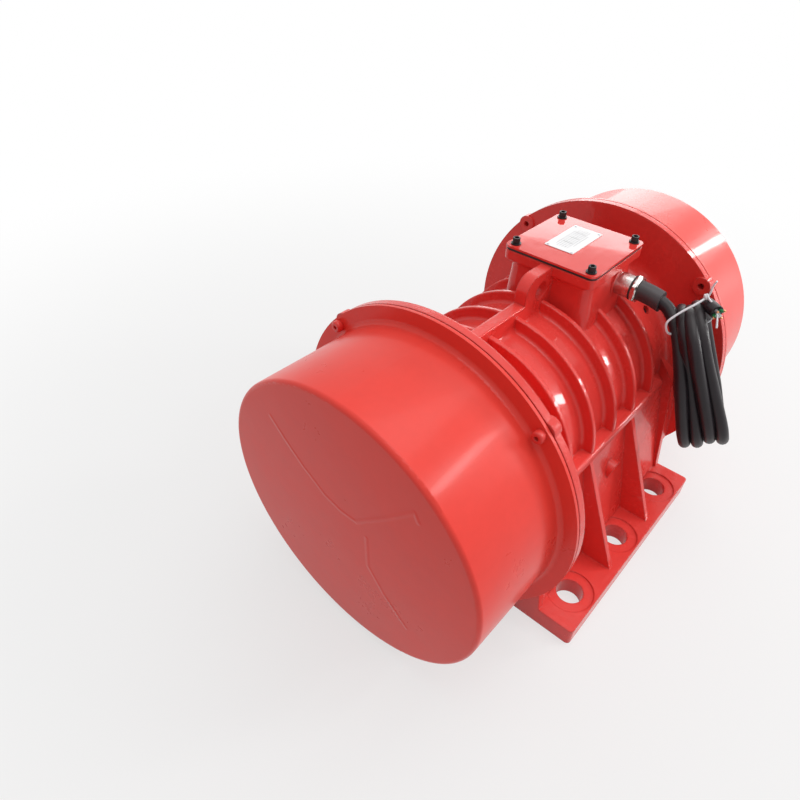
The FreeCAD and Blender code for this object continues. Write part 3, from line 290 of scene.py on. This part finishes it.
# finishes
enamelRed = (0.74, 0.044, 0.036)
sheetRed = (0.80, 0.050, 0.036)
looks = {
    "castEnamel": {"color": enamelRed, "roughness": 0.26, "coat": 0.3, "coatRoughness": 0.02,
                   "specular": 0.2, "skinScale": 260.0, "ripple": 1.0, "grain": 0.35, "depth": 0.0006,
                   "edge": 0.003, "tone": 0.05, "dust": 0.05},
    "sheetEnamel": {"color": sheetRed, "roughness": 0.3, "coat": 0.3, "coatRoughness": 0.06,
                    "specular": 0.3, "skinScale": 60.0, "ripple": 0.8, "grain": 0.0, "depth": 0.0005,
                    "edge": 0.001, "tone": 0.04, "dust": 0.04},
    "creasedEnamel": {"color": sheetRed, "roughness": 0.3, "coat": 0.08, "coatRoughness": 0.1,
                      "specular": 0.2, "skinScale": 60.0, "ripple": 0.8, "grain": 0.0, "depth": 0.0005,
                      "edge": 0.001, "tone": 0.04, "dust": 0.04},
    "plateEnamel": {"color": enamelRed, "roughness": 0.1, "coat": 0.35, "coatRoughness": 0.02,
                    "specular": 0.4, "skinScale": 80.0, "ripple": 0.8, "grain": 0.05, "depth": 0.0003,
                    "edge": 0.0006, "tone": 0.03},
    "blackRubber": {"color": (0.02, 0.018, 0.018), "roughness": 0.6, "grain": 0.5, "skinScale": 500.0},
    "castIron": {"color": (0.16, 0.16, 0.165), "roughness": 0.5, "metallic": 0.8, "grain": 0.8,
                 "skinScale": 500.0, "depth": 0.0003, "tone": 0.15},
    "zincSteel": {"color": (0.62, 0.62, 0.66), "roughness": 0.3, "metallic": 1.0, "grain": 0.3,
                  "skinScale": 900.0, "tone": 0.12},
    "groundSteel": {"color": (0.66, 0.66, 0.68), "roughness": 0.2, "metallic": 1.0, "grain": 0.2,
                    "skinScale": 1200.0, "tone": 0.06},
    "machinedBrass": {"color": (0.72, 0.5, 0.2), "roughness": 0.3, "metallic": 1.0, "tone": 0.1},
    "laminations": {"color": (0.3, 0.3, 0.32), "roughness": 0.45, "metallic": 0.9, "tone": 0.2},
    "varnishedCopper": {"color": (0.5, 0.16, 0.06), "roughness": 0.3, "metallic": 0.6, "coat": 0.6,
                        "grain": 1.0, "skinScale": 900.0, "depth": 0.0006, "tone": 0.2},
    "castAluminium": {"color": (0.62, 0.63, 0.65), "roughness": 0.42, "metallic": 1.0, "grain": 0.6,
                      "skinScale": 500.0, "tone": 0.1},
    "weightSteel": {"color": (0.28, 0.28, 0.3), "roughness": 0.45, "metallic": 0.9, "grain": 0.6,
                    "skinScale": 400.0, "tone": 0.2},
    "satinAluminium": {"color": (0.74, 0.74, 0.75), "roughness": 0.5, "metallic": 0.2, "grain": 0.1,
                       "skinScale": 900.0, "tone": 0.03, "edge": 0.0002},
    # near-black finish of the black screws; on the grease plugs it is painted shade for the dark inside of
    # an open port
    "blackSteelAndPortShade": {"color": (0.016, 0.015, 0.017), "roughness": 0.38, "metallic": 0.2, "grain": 0.3,
                   "skinScale": 900.0, "edge": 0.0003},
    "mouldedBlock": {"color": (0.05, 0.03, 0.025), "roughness": 0.55, "grain": 0.4},
    "nickelPlate": {"color": (0.62, 0.58, 0.56), "roughness": 0.24, "metallic": 1.0, "grain": 0.25,
                    "skinScale": 700.0, "depth": 0.0001, "tone": 0.18, "toneScale": 60.0, "edge": 0.0004},
    "sleeveRubber": {"color": (0.035, 0.027, 0.03), "roughness": 0.48, "grain": 0.4, "skinScale": 420.0,
                     "tone": 0.15, "toneScale": 30.0},
    "cableRubber": {"color": (0.014, 0.010, 0.013), "roughness": 0.4, "grain": 0.3, "skinScale": 500.0,
                    "ripple": 0.5, "specular": 0.3, "tone": 0.25, "toneScale": 30.0, "dust": 0.04},
    "tiePlastic": {"color": (0.78, 0.79, 0.83), "roughness": 0.3, "tone": 0.03},
    "inkGrey": {"color": (0.07, 0.07, 0.08), "roughness": 0.7, "specular": 0.2},
    "coreGreen": {"color": (0.02, 0.22, 0.08), "roughness": 0.35},
    "coreWhite": {"color": (0.72, 0.74, 0.72), "roughness": 0.35},
    "coreGrey": {"color": (0.25, 0.27, 0.28), "roughness": 0.35},
    "bareCopper": {"color": (0.72, 0.33, 0.17), "roughness": 0.3, "metallic": 1.0},
}
materials = {name: makeMaterial(name, look) for name, look in looks.items()}

# faint creases pressed into the flat end of one cover: (y, z) points in its face
creases = {
    "width": 0.0042,
    "depth": 0.0005,
    "lines": [[(0.101, 0.298), (0.080, 0.275), (0.057, 0.254), (0.026, 0.232), (0.002, 0.225),
               (-0.020, 0.226), (-0.062, 0.266), (-0.098, 0.304), (-0.103, 0.294)],
              [(-0.034, 0.211), (-0.034, 0.162), (-0.057, 0.130), (-0.090, 0.098)]],
}


def pressCreases(material, face):
    tree = material.node_tree
    shader = tree.nodes["Principled BSDF"]
    total = 0.0
    for line in creases["lines"]:
        for first, second in zip(line, line[1:]):
            ridge = placeGroup(material, creaseLine, {"Start": (face, *first), "Finish": (face, *second),
                                                      "Width": creases["width"]})
            total = addMath(tree, "MAXIMUM", total, ridge.outputs["Mask"])
    bump = tree.nodes.new("ShaderNodeBump")
    bump.inputs["Distance"].default_value = creases["depth"]
    tree.links.new(total, bump.inputs["Height"])
    tree.links.new(shader.inputs["Normal"].links[0].from_socket, bump.inputs["Normal"])
    tree.links.new(bump.outputs[0], shader.inputs["Normal"])


pressCreases(materials["creasedEnamel"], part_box("end_cover_left")[0].x)

# finish of each slot, and of the pieces that differ from their slot
slotMaterials = {
    "red_paint": "castEnamel", "black_rubber": "blackRubber", "cast_iron": "castIron",
    "zinc_steel": "zincSteel", "bearing_steel": "groundSteel", "bearing_brass": "machinedBrass",
    "core_steel": "laminations", "copper": "varnishedCopper", "cast_aluminium": "castAluminium",
    "weight_steel": "weightSteel", "bare_aluminium": "satinAluminium", "black_steel": "blackSteelAndPortShade",
    "moulded_block": "mouldedBlock", "nickel": "nickelPlate", "sleeve_rubber": "sleeveRubber",
    "cable_rubber": "cableRubber", "white_plastic": "tiePlastic",
}
# the grease plugs take the near-black finish as painted shade, standing for the dark inside of an open
# port
nodeMaterials = {"end_cover_left": "creasedEnamel", "end_cover_right": "sheetEnamel",
                 "terminal_cover": "plateEnamel", "grease_plugs": "blackSteelAndPortShade",
                 "nameplate_rivets": "zincSteel"}


def dressNodes():
    for part in record["subparts"]:
        name = part["node"]
        obj = frame["nodes"][name]
        chosen = materials[nodeMaterials.get(name, slotMaterials[part["material_slot"]])]
        if not obj.material_slots:
            obj.data.materials.append(chosen)
        for slot in obj.material_slots:
            slot.material = chosen


dressNodes()
print("stage 2: materials placed on the nodes")

# building helpers
sharpEdge = 32   # degrees between two faces, from which their edge stays sharp


def addPiece(name, verts, faces, material, smooth=True):
    mesh = bpy.data.meshes.new(name)
    mesh.from_pydata([tuple(v) for v in verts], [], faces)
    mesh.validate()
    mesh.update()
    shape = bmesh.new()
    shape.from_mesh(mesh)
    bmesh.ops.recalc_face_normals(shape, faces=shape.faces)
    shape.to_mesh(mesh)
    shape.free()
    for polygon in mesh.polygons:
        polygon.use_smooth = smooth
    obj = bpy.data.objects.new(name, mesh)
    bpy.context.scene.collection.objects.link(obj)
    mesh.materials.append(materials[material])
    if smooth:
        mesh.set_sharp_from_angle(angle=math.radians(sharpEdge))
    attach(obj, housing)
    return obj


def ringSolid(rings):
    # rings of equal length joined to a skin, with flat ends
    count = len(rings[0])
    verts = [point for ring in rings for point in ring]
    faces = []
    for i in range(len(rings) - 1):
        for j in range(count):
            k = (j + 1) % count
            faces.append((i * count + j, i * count + k, (i + 1) * count + k, (i + 1) * count + j))
    faces.append(tuple(range(count)))
    faces.append(tuple((len(rings) - 1) * count + j for j in range(count)))
    return verts, faces


def axisFrame(axis):
    # the axis and two directions across it
    axis = axis.normalized()
    side = axis.cross(Vector((0, 0, 1)))
    if side.length < 0.1:                     # the axis stands almost upright
        side = axis.cross(Vector((0, 1, 0)))
    side.normalize()
    return axis, side, axis.cross(side)


def ringPoints(centre, side, other, count, reachAt):
    # reachAt gives the radius at an angle in degrees and at a point's number
    points = []
    for j in range(count):
        turn = 360.0 * j / count
        angle = math.radians(turn)
        reach = reachAt(turn, j)
        points.append(centre + side * (reach * math.cos(angle)) + other * (reach * math.sin(angle)))
    return points


def hexagonReach(half, turn):
    # radius of a hexagon with half its width across flats; a flat's middle is at turn 0
    return half / math.cos(math.radians((turn + 30.0) % 60.0 - 30.0))


def mergeParts(parts):
    verts, faces = [], []
    for partVerts, partFaces in parts:
        offset = len(verts)
        verts += partVerts
        faces += [tuple(i + offset for i in face) for face in partFaces]
    return verts, faces


# cable gland nut, with a groove round the middle of its flats
glandNut = {"acrossFlats": 0.032, "boreRadius": 0.0127, "chamfer": 0.0016, "backEdge": 0.0004,
            "frontEdge": 0.0008, "groove": 0.0007, "grooveSpan": (0.45, 0.5, 0.55), "segments": 96}


def buildGlandNut():
    low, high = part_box("cable_gland_nut")
    centre = Vector(((low.x + high.x) / 2, high.y, (low.z + high.z) / 2))
    axis, side, other = axisFrame(Vector((0, -1, 0)))
    length = high.y - low.y
    half = glandNut["acrossFlats"] / 2
    corner = half / math.cos(math.radians(30))
    chamfer, bore = glandNut["chamfer"], glandNut["boreRadius"]
    grooveStart, grooveMiddle, grooveEnd = [length * share for share in glandNut["grooveSpan"]]
    profile = [(0.0, bore), (0.0, half - glandNut["backEdge"]), (chamfer, corner), (grooveStart, corner),
               (grooveMiddle, corner - glandNut["groove"]), (grooveEnd, corner),
               (length - chamfer, corner), (length, half - glandNut["frontEdge"]), (length, bore)]
    rings = []
    for along, radius in profile:
        rings.append(ringPoints(centre + axis * along, side, other, glandNut["segments"],
                                lambda turn, j: min(radius, hexagonReach(half, turn))))
    verts, faces = ringSolid(rings)
    nut = addPiece("gland_nut", verts, faces, "nickelPlate")
    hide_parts("cable_gland_nut")


buildGlandNut()

# socket screws of the terminal box and of the end covers; socket is half its width across flats
coverScrews = {"inset": 0.0105, "radius": 0.0047, "height": 0.0068, "round": 0.0007, "socket": 0.0027,
               "depth": 0.0036, "sides": 72, "knurl": 0.0002}
endScrews = {"shaftHeight": 0.192, "circle": 0.194, "angles": (45, 135, 225, 315), "lip": 0.004,
             "radius": 0.0069, "height": 0.008, "round": 0.0026, "socket": 0.0022, "depth": 0.0045,
             "sides": 72, "knurl": 0.0}
capShape = {"roundSteps": 5, "knurlStop": 1.2, "socketRim": 1.25, "socketEdge": 0.0003}


def capHead(base, axis, screw):
    # round head on a seat, with an inner hexagon
    axis, side, other = axisFrame(axis)
    height, rounding = screw["height"], screw["round"]

    def ring(level, reachAt):
        return ringPoints(base + axis * level, side, other, screw["sides"], reachAt)

    def plain(reach):
        return lambda turn, j: reach

    def knurled(turn, j):
        return screw["radius"] - screw["knurl"] * (j % 2)

    def socket(turn, j):
        return hexagonReach(screw["socket"], turn + 30.0)

    rings = [ring(0.0, knurled), ring(height - rounding * capShape["knurlStop"], knurled)]
    for step in range(capShape["roundSteps"] + 1):
        bend = math.radians(90 * step / capShape["roundSteps"])
        rings.append(ring(height - rounding * (1 - math.sin(bend)),
                          plain(screw["radius"] - rounding * (1 - math.cos(bend)))))
    rings += [ring(height, plain(screw["socket"] * capShape["socketRim"])),
              ring(height - capShape["socketEdge"], socket), ring(height - screw["depth"], socket)]
    return ringSolid(rings)


def buildCoverScrews():
    low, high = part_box("terminal_cover")
    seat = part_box("terminal_cover_washers")[1].z
    inset = coverScrews["inset"]
    parts = []
    for x in (low.x + inset, high.x - inset):
        for y in (low.y + inset, high.y - inset):
            parts.append(capHead(Vector((x, y, seat)), Vector((0, 0, 1)), coverScrews))
    verts, faces = mergeParts(parts)
    heads = addPiece("terminal_screw_heads", verts, faces, "blackSteelAndPortShade")
    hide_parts("terminal_cover_screws")


def buildEndScrews():
    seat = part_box("cover_seal_right")[1].x + endScrews["lip"]
    parts = []
    for end in (-1, 1):
        for angle in endScrews["angles"]:
            turn = math.radians(angle)
            base = Vector((end * seat, endScrews["circle"] * math.sin(turn),
                           endScrews["shaftHeight"] + endScrews["circle"] * math.cos(turn)))
            parts.append(capHead(base, Vector((end, 0, 0)), endScrews))
    verts, faces = mergeParts(parts)
    heads = addPiece("cover_screw_heads", verts, faces, "castEnamel")
    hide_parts("cover_screws")


buildCoverScrews()
buildEndScrews()

# ruled lines on the nameplate: rows and posts as shares of the field, postRows the rows they join
plateRules = {"margin": 0.0045, "thin": 0.0003, "lift": 0.00008, "sink": 0.00005,
              "rows": (0.16, 0.27, 0.38, 0.49, 0.60, 0.71, 0.82),
              "spans": ((0.14, 0.86), (0.06, 0.94), (0.06, 0.94), (0.06, 0.94), (0.06, 0.94), (0.06, 0.94),
                        (0.22, 0.78)),
              "posts": (0.30, 0.54, 0.78), "postRows": (1, 5)}


def flatBar(x0, x1, y0, y1, z0, z1):
    rings = [[(x0, y0, z), (x1, y0, z), (x1, y1, z), (x0, y1, z)] for z in (z0, z1)]
    return ringSolid(rings)


def buildPlateRules():
    low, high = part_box("nameplate")
    margin, half = plateRules["margin"], plateRules["thin"] / 2
    x0, x1 = low.x + margin, high.x - margin
    y0, y1 = low.y + margin, high.y - margin
    z0, z1 = high.z - plateRules["sink"], high.z + plateRules["lift"]
    levels = [y1 + (y0 - y1) * row for row in plateRules["rows"]]
    bars = []
    for y, (first, last) in zip(levels, plateRules["spans"]):
        bars.append(flatBar(x0 + (x1 - x0) * first, x0 + (x1 - x0) * last, y - half, y + half, z0, z1))
    top, bottom = [levels[row] for row in plateRules["postRows"]]
    for post in plateRules["posts"]:
        x = x0 + (x1 - x0) * post
        bars.append(flatBar(x - half, x + half, bottom, top, z0, z1))
    verts, faces = mergeParts(bars)
    addPiece("nameplate_rules", verts, faces, "inkGrey", smooth=False)


buildPlateRules()
print("stage 3: gland nut, screw heads and nameplate lines")

# supply cable; lead and tail are (down, side, out) of the hank
cable = {
    "diameter": 0.016,
    "route": [(0.097, -0.0863, 0.3413), (0.097, -0.1045, 0.3398), (0.0978, -0.1225, 0.3355)],
    "hankTop": (0.0903, -0.1505, 0.3506),
    "hankBottom": (0.1293, -0.2243, 0.1516),
    "loopDirection": (0.897, 0.443, 0.012),
    "foldCentre": 0.056,                     # of both folds, from the ends of the hank
    "foldSteps": 6,
    "nearLegShares": (0.0, 0.35, 0.7, 1.0),  # where the points of a leg lie along it
    "farLegShares": (0.0, 0.3, 0.65, 1.0),
    "lead": [(0.0155, 0.010, -0.0185), (0.034, -0.014, -0.0135), (0.058, -0.036, -0.015)],
    # each turn: near leg at the top, lower fold, far leg at the top, as (across, radius),
    # and how far its lower fold drops
    "turns": [((-0.0155, 0.047), (-0.023, 0.047), (-0.0075, 0.046), 0.001),
              ((-0.006, 0.0345), (-0.0075, 0.044), (0.001, 0.035), 0.007),
              ((0.0025, 0.048), (0.008, 0.047), (0.009, 0.047), -0.002),
              ((0.013, 0.036), (0.0235, 0.045), (0.0175, 0.040), 0.004)],
    "tail": [(0.021, 0.026, 0.0185), (0.012, 0.012, 0.021), (0.0105, -0.001, 0.0255),
             (0.0125, -0.012, 0.0305)],
}
curveShape = {"order": 3, "resolution": 6, "sideSteps": 5}

hankTop = Vector(cable["hankTop"])
hankDown = (Vector(cable["hankBottom"]) - hankTop).normalized()
hankLength = (Vector(cable["hankBottom"]) - hankTop).length
loopDirection = Vector(cable["loopDirection"])
hankSide = (loopDirection - hankDown * loopDirection.dot(hankDown)).normalized()
hankOut = hankDown.cross(hankSide)


def hankPoint(down, side, out):
    return hankTop + hankDown * down + hankSide * side + hankOut * out


def between(first, last, share):
    # (across, radius) at a share of the way
    return first[0] + (last[0] - first[0]) * share, first[1] + (last[1] - first[1]) * share


def foldPoints(centre, sign, first, last):
    # half a turn round one end of the hank
    points = []
    for i in range(1, cable["foldSteps"]):
        share = i / cable["foldSteps"]
        angle = math.pi * (share - 0.5) * sign
        out, radius = between(first, last, share)
        points.append(hankPoint(centre + sign * radius * math.cos(angle), radius * math.sin(angle), out))
    return points


def legPoints(start, finish, first, last, side, shares):
    points = []
    for share in shares:
        out, radius = between(first, last, share)
        points.append(hankPoint(start + (finish - start) * share, side * radius, out))
    return points


def cableRoute():
    points = [Vector(p) for p in cable["route"]] + [hankPoint(*p) for p in cable["lead"]]
    upper = cable["foldCentre"]
    turns = cable["turns"]
    nearShares = cable["nearLegShares"][1:]    # the lead stands for the first point of the first leg
    for index, (nearTop, fold, farTop, drop) in enumerate(turns):
        lower = hankLength - cable["foldCentre"] + drop
        points += legPoints(upper, lower, nearTop, fold, -1, nearShares)
        points += foldPoints(lower, 1, fold, fold)
        points += legPoints(lower, upper, fold, farTop, 1, cable["farLegShares"])
        nearShares = cable["nearLegShares"]
        if index + 1 < len(turns):
            points += foldPoints(upper, -1, farTop, turns[index + 1][0])
    points += [hankPoint(*p) for p in cable["tail"]]
    return points


def nurbsCurve(name, points, radius, material):
    data = bpy.data.curves.new(name, "CURVE")
    data.dimensions = "3D"
    data.bevel_depth = radius
    data.bevel_resolution = curveShape["sideSteps"]
    data.use_fill_caps = True
    spline = data.splines.new("NURBS")
    spline.points.add(len(points) - 1)
    for target, point in zip(spline.points, points):
        target.co = (*point, 1.0)
    spline.order_u = curveShape["order"]
    spline.use_endpoint_u = True
    spline.resolution_u = curveShape["resolution"]
    obj = bpy.data.objects.new(name, data)
    bpy.context.scene.collection.objects.link(obj)
    data.materials.append(materials[material])
    return obj


def splineLine(points):
    # points along the smooth line of a route
    probe = nurbsCurve("probe", points, 0.0, "cableRubber")
    mesh = bpy.data.meshes.new_from_object(probe)
    line = [v.co.copy() for v in mesh.vertices]
    bpy.data.objects.remove(probe)
    bpy.data.meshes.remove(mesh)
    return line


route = cableRoute()
cableLine = splineLine(route)
supplyCord = nurbsCurve("supply_cord", route, cable["diameter"] / 2, "cableRubber")
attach(supplyCord, housing)
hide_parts("supply_cable", "cable_hank", "cable_tail")

# cores at the cut end, each with a bare tip; bend is (share of the reach, share of the spread)
cores = {"spread": 0.0034, "radius": 0.0019, "sink": 0.004, "length": 0.0045, "shortest": 0.7,
         "lengthStep": 0.2, "bend": (0.4, 1.05), "flare": 1.7, "strip": 0.0025, "stripSink": 0.001,
         "bareShare": 0.6, "linePoints": 4, "colors": ("coreGreen", "coreWhite", "coreGreen", "coreGrey")}


def buildCores():
    end = cableLine[-1]
    axis, side, other = axisFrame(end - cableLine[-cores["linePoints"]])
    bendReach, bendSpread = cores["bend"]
    made = []
    for index, color in enumerate(cores["colors"]):
        angle = math.pi / 4 + index * math.pi / 2
        offset = (side * math.cos(angle) + other * math.sin(angle)) * cores["spread"]
        reach = cores["length"] * (cores["shortest"] + cores["lengthStep"] * index)
        root = end - axis * cores["sink"] + offset
        middle = end + axis * (reach * bendReach) + offset * bendSpread
        tip = end + axis * reach + offset * cores["flare"]
        bareEnd = tip + (tip - middle).normalized() * cores["strip"]
        core = nurbsCurve("core_%d" % index, [root, middle, tip], cores["radius"], color)
        bare = nurbsCurve("core_tip_%d" % index, [tip - axis * cores["stripSink"], bareEnd],
                          cores["radius"] * cores["bareShare"], "bareCopper")
        for piece in (core, bare):
            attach(piece, housing)
            made.append(piece)
    return made


corePieces = buildCores()

# plastic tie: a loop round the top fold, a knot and two free ends, as (down, side, out) of the hank
tie = {
    "radius": 0.0014,
    "loop": [(0.000, 0.004, 0.0215), (0.0015, -0.004, 0.010), (0.003, -0.009, -0.002),
             (0.006, -0.014, -0.014), (0.010, -0.018, -0.0245), (0.019, -0.018, -0.0265),
             (0.030, -0.015, -0.0245), (0.0345, -0.010, -0.014), (0.033, -0.006, 0.002),
             (0.032, -0.002, 0.016), (0.027, 0.000, 0.0265), (0.014, 0.002, 0.0275),
             (0.004, 0.004, 0.0255), (0.000, 0.004, 0.0215)],
    "longEnd": [(0.000, 0.004, 0.0225), (-0.006, 0.004, 0.027), (-0.013, 0.005, 0.029),
                (-0.020, 0.002, 0.034)],
    "shortEnd": [(0.000, 0.004, 0.0225), (0.006, -0.004, 0.029), (0.016, -0.016, 0.031),
                 (0.026, -0.024, 0.028)],
    "endShare": 0.85,                        # thickness of the free ends against the loop
    "knot": {"turns": 2, "steps": 14, "radius": 0.0026, "halfLength": 0.0022, "rise": 0.0012},
}


def knotPoints(middle, knot):
    # a short coil along the hank's out direction
    points = []
    for i in range(knot["steps"] + 1):
        share = i / knot["steps"]
        angle = 2 * math.pi * knot["turns"] * share
        points.append(middle + hankDown * (knot["radius"] * math.cos(angle))
                      + hankSide * (knot["radius"] * math.sin(angle))
                      + hankOut * (knot["halfLength"] * (2 * share - 1)))
    return points


def buildTie():
    loop = [hankPoint(*p) for p in tie["loop"]]
    coil = knotPoints(loop[0] - hankDown * tie["knot"]["rise"], tie["knot"])
    made = [nurbsCurve("tie_loop", loop, tie["radius"], "tiePlastic"),
            nurbsCurve("tie_knot", coil, tie["radius"], "tiePlastic")]
    for name, points in (("tie_end_long", tie["longEnd"]), ("tie_end_short", tie["shortEnd"])):
        made.append(nurbsCurve(name, [hankPoint(*p) for p in points], tie["radius"] * tie["endShare"],
                               "tiePlastic"))
    for piece in made:
        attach(piece, housing)
    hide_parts("cable_tie")
    return made


tiePieces = buildTie()
print("stage 4: cable, cores and tie")


# floor and light
def seenDirectly(tree):
    # 1 for what the camera sees itself, in a reflection or through glass
    path = tree.nodes.new("ShaderNodeLightPath")
    last = path.outputs["Is Camera Ray"]
    for name in ("Is Glossy Ray", "Is Transmission Ray"):
        last = addMath(tree, "MAXIMUM", last, path.outputs[name])
    return last


# the floor turns white from fadeStart to fadeEnd, and keeps the shadow near the feet
floorLook = {"halfSize": 40.0, "color": (0.65, 0.65, 0.65, 1), "roughness": 0.9, "glow": 1.0,
             "fadeStart": 0.35, "fadeEnd": 1.6, "nearShare": 0.65, "farShare": 1.0}


def makeFloor():
    size = floorLook["halfSize"]
    mesh = bpy.data.meshes.new("floor")
    mesh.from_pydata([(-size, -size, 0), (size, -size, 0), (size, size, 0), (-size, size, 0)], [],
                     [(0, 1, 2, 3)])
    floor = bpy.data.objects.new("floor", mesh)
    bpy.context.scene.collection.objects.link(floor)
    material = bpy.data.materials.new("paleFloor")
    material.use_nodes = True
    tree = material.node_tree
    shader = tree.nodes["Principled BSDF"]
    shader.inputs["Base Color"].default_value = floorLook["color"]
    shader.inputs["Roughness"].default_value = floorLook["roughness"]
    shader.inputs["Specular IOR Level"].default_value = 0.0
    glow = tree.nodes.new("ShaderNodeEmission")
    glow.inputs["Strength"].default_value = floorLook["glow"]
    place = tree.nodes.new("ShaderNodeTexCoord")
    away = tree.nodes.new("ShaderNodeVectorMath")
    away.operation = "LENGTH"
    tree.links.new(place.outputs["Object"], away.inputs[0])
    fade = tree.nodes.new("ShaderNodeMapRange")
    fade.interpolation_type = "SMOOTHSTEP"
    for label, value in (("From Min", "fadeStart"), ("From Max", "fadeEnd"), ("To Min", "nearShare"),
                         ("To Max", "farShare")):
        fade.inputs[label].default_value = floorLook[value]
    tree.links.new(away.outputs["Value"], fade.inputs["Value"])
    mix = tree.nodes.new("ShaderNodeMixShader")
    tree.links.new(addMath(tree, "MULTIPLY", seenDirectly(tree), fade.outputs[0]), mix.inputs[0])
    tree.links.new(shader.outputs[0], mix.inputs[1])
    tree.links.new(glow.outputs[0], mix.inputs[2])
    tree.links.new(mix.outputs[0], tree.nodes["Material Output"].inputs["Surface"])
    mesh.materials.append(material)


worldLight = {"color": (1.0, 0.99, 0.98, 1), "onMotor": 0.5, "inView": 1.0}


def makeWorld():
    world = bpy.data.worlds.new("studio")
    bpy.context.scene.world = world
    world.use_nodes = True
    tree = world.node_tree
    background = tree.nodes["Background"]
    background.inputs["Color"].default_value = worldLight["color"]
    strength = tree.nodes.new("ShaderNodeMapRange")
    strength.inputs["To Min"].default_value = worldLight["onMotor"]
    strength.inputs["To Max"].default_value = worldLight["inView"]
    tree.links.new(seenDirectly(tree), strength.inputs["Value"])
    tree.links.new(strength.outputs[0], background.inputs["Strength"])


lampTarget = Vector((0, 0, 0.2))   # about the middle of the motor
# direction from the target, distance, size, power
lamps = {
    "overhead": ((0.1, -0.15, 1.0), 2.4, (2.2, 1.8), 28),
    "backWall": ((0.87, 0.40, 0.29), 2.8, (2.2, 1.0), 18),
    "windowLeft": ((1.806, -1.791, 0.652), 2.63, (0.11, 0.5), 7),
    "windowMiddle": ((1.954, -1.695, 0.621), 2.66, (0.11, 0.5), 7),
    "windowRight": ((2.073, -1.634, 0.545), 2.7, (0.11, 0.5), 7),
    "windowHigh": ((1.2, -1.63, 1.61), 2.6, (0.5, 0.22), 9),
    "windowFar": ((2.4, -0.764, 0.993), 2.7, (0.12, 0.6), 5),
}


def areaLight(name, direction, distance, size, power):
    data = bpy.data.lights.new(name, "AREA")
    data.shape = "RECTANGLE"
    data.size, data.size_y = size
    data.energy = power
    lamp = bpy.data.objects.new(name, data)
    direction = Vector(direction).normalized()
    lamp.location = lampTarget + direction * distance
    lamp.rotation_euler = direction.to_track_quat("Z", "Y").to_euler()
    bpy.context.scene.collection.objects.link(lamp)


makeFloor()
makeWorld()
for lampName, lampValues in lamps.items():
    areaLight(lampName, *lampValues)
bpy.context.scene.view_settings.view_transform = "Standard"
print("stage 5: floor and lamps")
